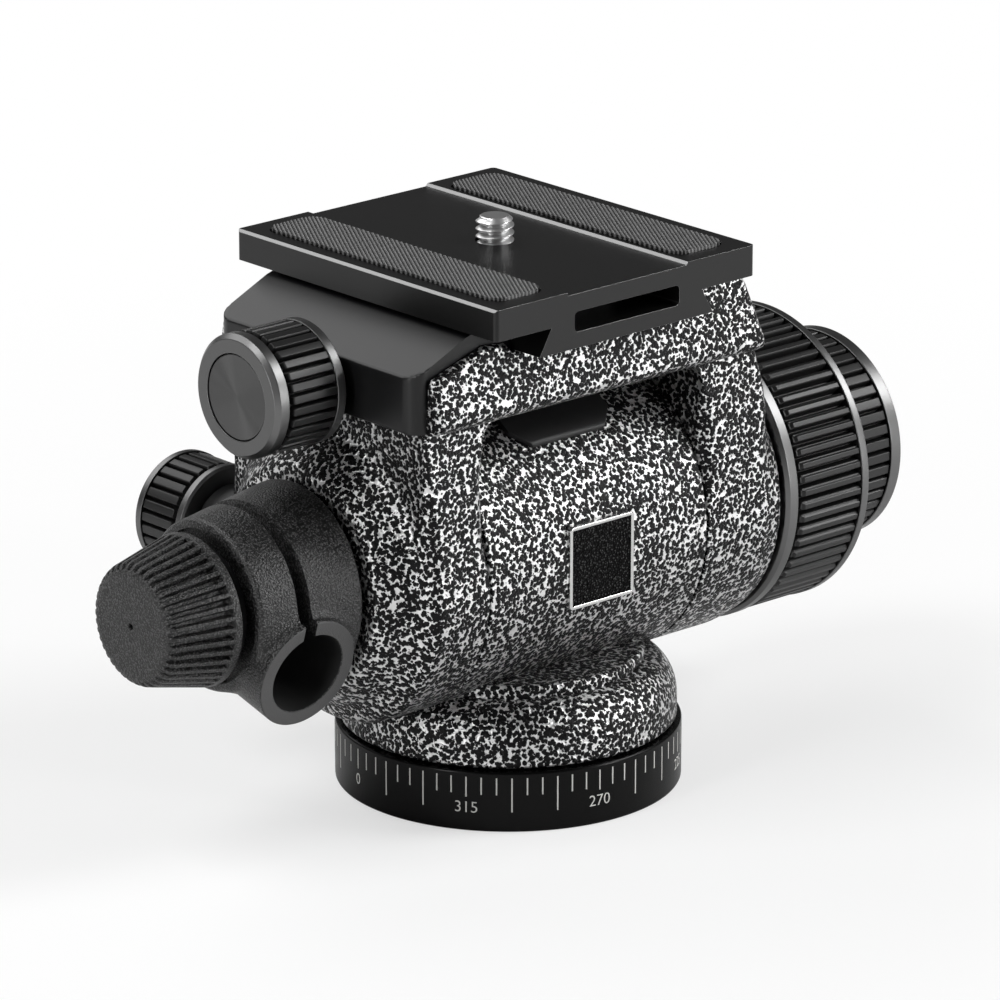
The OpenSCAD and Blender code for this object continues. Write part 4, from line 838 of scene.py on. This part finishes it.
web_x = np.concatenate([np.linspace(CLAMP_X0, CLAMP_X1 + 0.9, 90),
                        CLAMP_X1 + np.array([0.7, 0.5, 0.3, 0.15, 0.05, 0])])[:, None]
web_t = np.linspace(0, 2 * np.pi, 360, endpoint=False)[None]
web_r = web(web_x, web_t) - ease(web_x - CLAMP_X1, 0.8) - ease(CLAMP_X0 - web_x, 0.5)
clamp = piece("bar_clamp_cast", shell(round_tilt(web_x, web_r, web_t)), powder, "bar_clamp", "bar_clamp",
              slot="black_powder")
bar_side = np.array([1.0, 0, 0])
bar_up = np.cross(BAR_WAY, bar_side)


def on_bar(grid):
    """A mesh to cut or join with, from (along, side, up) on the bar's axis."""
    return mesh_of("on_bar", shell(BAR_AT + grid @ np.stack([BAR_WAY, bar_side, bar_up])))


boss = on_bar(lathe(rounded([(4, 3), (4, BOSS_R), (BAR_FACE, BOSS_R), (BAR_FACE, 3)], [0.1, 0.35]), 120))
bore = on_bar(lathe([(BAR_FACE - 12, BORE_R), (BAR_FACE - 0.2, BORE_R), (BAR_FACE + 0.2, BORE_R + 0.4)], 96))
slit = on_bar(np.array([[(along, side, up) for along, up in oblong(-40, 40, 0, 40)]
                        for side in (SLIT_AT - SLIT_W / 2, SLIT_AT + SLIT_W / 2)]))
carve(clamp, [bore, slit, rod("x", TILT, STUD_BORE, -70, -40, 48), rod("x", TILT, SEAT_R, -70, CLAMP_X1 + 1.3)],
      join=[boss], soft=0.2, angle=50)
# The boss's face, cut after coating: bare metal gone dull and grey.
cut_face = surface("machined_dull_face", "#545454", 0.45, (0.2, 0.08))
# The bore, reamed through the coating: smooth and dark.
reamed = surface("reamed_dark_bore", "#303030", 0.32, (0.3, 0.002), Specular_IOR_Level=0.8)


def from_bar(centre):
    """Distance along the bar's axis, and out from it."""
    ahead = (centre - BAR_AT) @ BAR_WAY
    return ahead, np.linalg.norm(centre - BAR_AT - ahead[:, None] * BAR_WAY, axis=1)


repaint(clamp, cut_face, lambda centre, normal: (from_bar(centre)[0] > BAR_FACE - 0.05) & (
    from_bar(centre)[1] < BOSS_R) & (normal @ BAR_WAY > 0.9))
repaint(clamp, reamed, lambda centre, normal: (np.abs(from_bar(centre)[1] - BORE_R) < 0.1) & (
    from_bar(centre)[0] < BAR_FACE - 0.1) & (np.abs(normal @ BAR_WAY) < 0.5))

# Bar clamp knob: a tapered die-cast knob with fine flutes that run out at its nose, coated like the clamp. A plastic
# washer lies behind it.

GRIP_X0 = -65.1
GRIP_X1 = -77.8
FLUTES = 40
dress(moulded_black, "black_plastic", "bar_knob_washer")
grip_x = np.concatenate([[0, 0.06, 0.2, 0.45, 1.2, 1.38, 1.44, 1.5], np.linspace(2.0, 10.6, 22),
                         np.linspace(10.9, 12.7, 14)])
flute_t = np.linspace(0, 2 * np.pi, FLUTES * 16, endpoint=False)[None]
nose_run = np.clip((grip_x - 11.0) / 1.7, 0, 1)
taper = np.interp(grip_x, [0, 12.7], [12.85, 9.9]) - ease(grip_x, 0.4)
taper = taper - 1.5 * (1 - np.sqrt(1 - nose_run ** 2 * 0.999))
flute = np.abs((flute_t * FLUTES / (2 * np.pi)) % 1 - 0.5) * 2
flute_deep = (np.clip((grip_x - 1.38) / 0.1, 0, 1) * np.interp(grip_x, [1.5, 11.5, 12.7], [1.25, 0.85, 0.0]))[:, None]
flute_edge = np.clip((0.62 - flute) / 0.26, 0, 1)
flute_r = taper[:, None] - flute_deep * flute_edge * flute_edge * (3 - 2 * flute_edge)
face_r = np.array([[8.0], [4.0], [0.7], [0.5], [0.5], [0.02]])
face_x = GRIP_X1 + np.array([[-0.02], [-0.05], [-0.06], [0.0], [1.0], [1.0]])
end_x = np.concatenate([GRIP_X0 - grip_x[:, None], face_x])
end_r = np.concatenate([flute_r, face_r + 0 * flute_t])
piece("bar_knob_cast", shell(round_tilt(end_x, end_r, flute_t)), powder, "bar_knob", "bar_knob", slot="black_powder")

# Studio: a dark room with soft boxes and a white floor, as for a catalogue photograph. Away from the head the floor
# runs out into white, and the light that it throws back on the head is held down.

paper = bpy.data.materials.new("white_paper")
paper.use_nodes = True
paper.node_tree.nodes.remove(paper.node_tree.nodes["Principled BSDF"])
path = add(paper, "ShaderNodeLightPath").node.outputs
seen = add(paper, "ShaderNodeMath", {0: path["Is Camera Ray"], 1: path["Is Transmission Ray"]}, operation="MAXIMUM")
seen = add(paper, "ShaderNodeMath", {0: seen, 1: path["Is Glossy Ray"]}, operation="MAXIMUM")
lit = add(paper, "ShaderNodeBsdfDiffuse", {"Color": linear("#f4f4f4")})
white = add(paper, "ShaderNodeEmission", {"Color": linear("#ffffff")})
apart = add(paper, "ShaderNodeVectorMath", {0: add(paper, "ShaderNodeTexCoord", out="Object")}, out="Value",
            operation="LENGTH")
away = add(paper, "ShaderNodeMapRange", {"Value": apart, "From Min": 0.07, "From Max": 0.32},
           interpolation_type="SMOOTHSTEP")
pale = add(paper, "ShaderNodeMath", {0: path["Is Camera Ray"], 1: 0.6}, operation="MULTIPLY")
near = add(paper, "ShaderNodeMixShader", {0: pale, 1: lit, 2: white})
bright = add(paper, "ShaderNodeMixShader", {0: away, 1: near, 2: white})
dull = add(paper, "ShaderNodeBsdfDiffuse", {"Color": linear("#8a8a8a")})
add(paper, "ShaderNodeMixShader", {0: seen, 1: dull, 2: bright}, to="Surface", end="Material Output")
floor_mesh = bpy.data.meshes.new("floor")
floor_mesh.from_pydata([(x, y, 0) for x, y in oblong(-8, 8, -8, 8)], [], [(0, 1, 2, 3)])
floor_mesh.materials.append(paper)
floor = bpy.data.objects.new("floor", floor_mesh)
bpy.context.scene.collection.objects.link(floor)
sky = bpy.data.worlds.new("studio")
bpy.context.scene.world = sky
sky.use_nodes = True
aim = add(sky, "ShaderNodeSeparateXYZ", {0: add(sky, "ShaderNodeTexCoord", out="Generated")}, out=2)
add(sky, "ShaderNodeMapRange", {"Value": aim, "From Min": 0.0, "From Max": 0.6, "To Min": 0.12, "To Max": 0.1},
    to="Color", end="Background")


def lamp(name, place, aim, size, power):
    """A soft box: an area lamp, its width and height given, that faces a point."""
    light = bpy.data.lights.new(name, "AREA")
    light.shape, light.size, light.size_y, light.energy = "RECTANGLE", *size, power
    made = bpy.data.objects.new(name, light)
    made.location = place
    made.rotation_euler = (Vector(aim) - Vector(place)).to_track_quat("-Z", "Y").to_euler()
    bpy.context.scene.collection.objects.link(made)


lamp("left_strip", (-0.88, -0.12, 0.2), (0, 0, 0.05), (0.14, 0.4), 2.2)
lamp("front_strip", (0.42, -0.86, 0.18), (0, 0, 0.05), (0.14, 0.36), 3.4)
lamp("over_box", (-0.46, 0.12, 0.78), (0, 0, 0.05), (0.35, 0.35), 3.0)
lamp("right_box", (0.56, -0.42, 0.54), (0, 0, 0.05), (0.32, 0.32), 4.6)
lamp("back_box", (-0.1, 0.6, 0.58), (0, 0, 0.07), (0.8, 0.4), 2.6)

# Camera: a long lens from the front left, a little above the plate. Its place was fitted to edges and rims of known
# direction.

eye = bpy.data.cameras.new("camera")
eye.lens, eye.sensor_width, eye.clip_end = 247.605, 36.0, 50.0
camera = bpy.data.objects.new("camera", eye)
right = Vector((0.74336118, -0.66889024, 0))
up = Vector((0.20939944, 0.23271294, 0.949735))
facing = Matrix((right, up, right.cross(up))).transposed().to_4x4()
camera.matrix_world = Matrix.Translation((-0.724252, -0.802846, 0.404185)) @ facing
bpy.context.scene.collection.objects.link(camera)
bpy.context.scene.camera = camera
bpy.context.scene.view_settings.view_transform = "Standard"
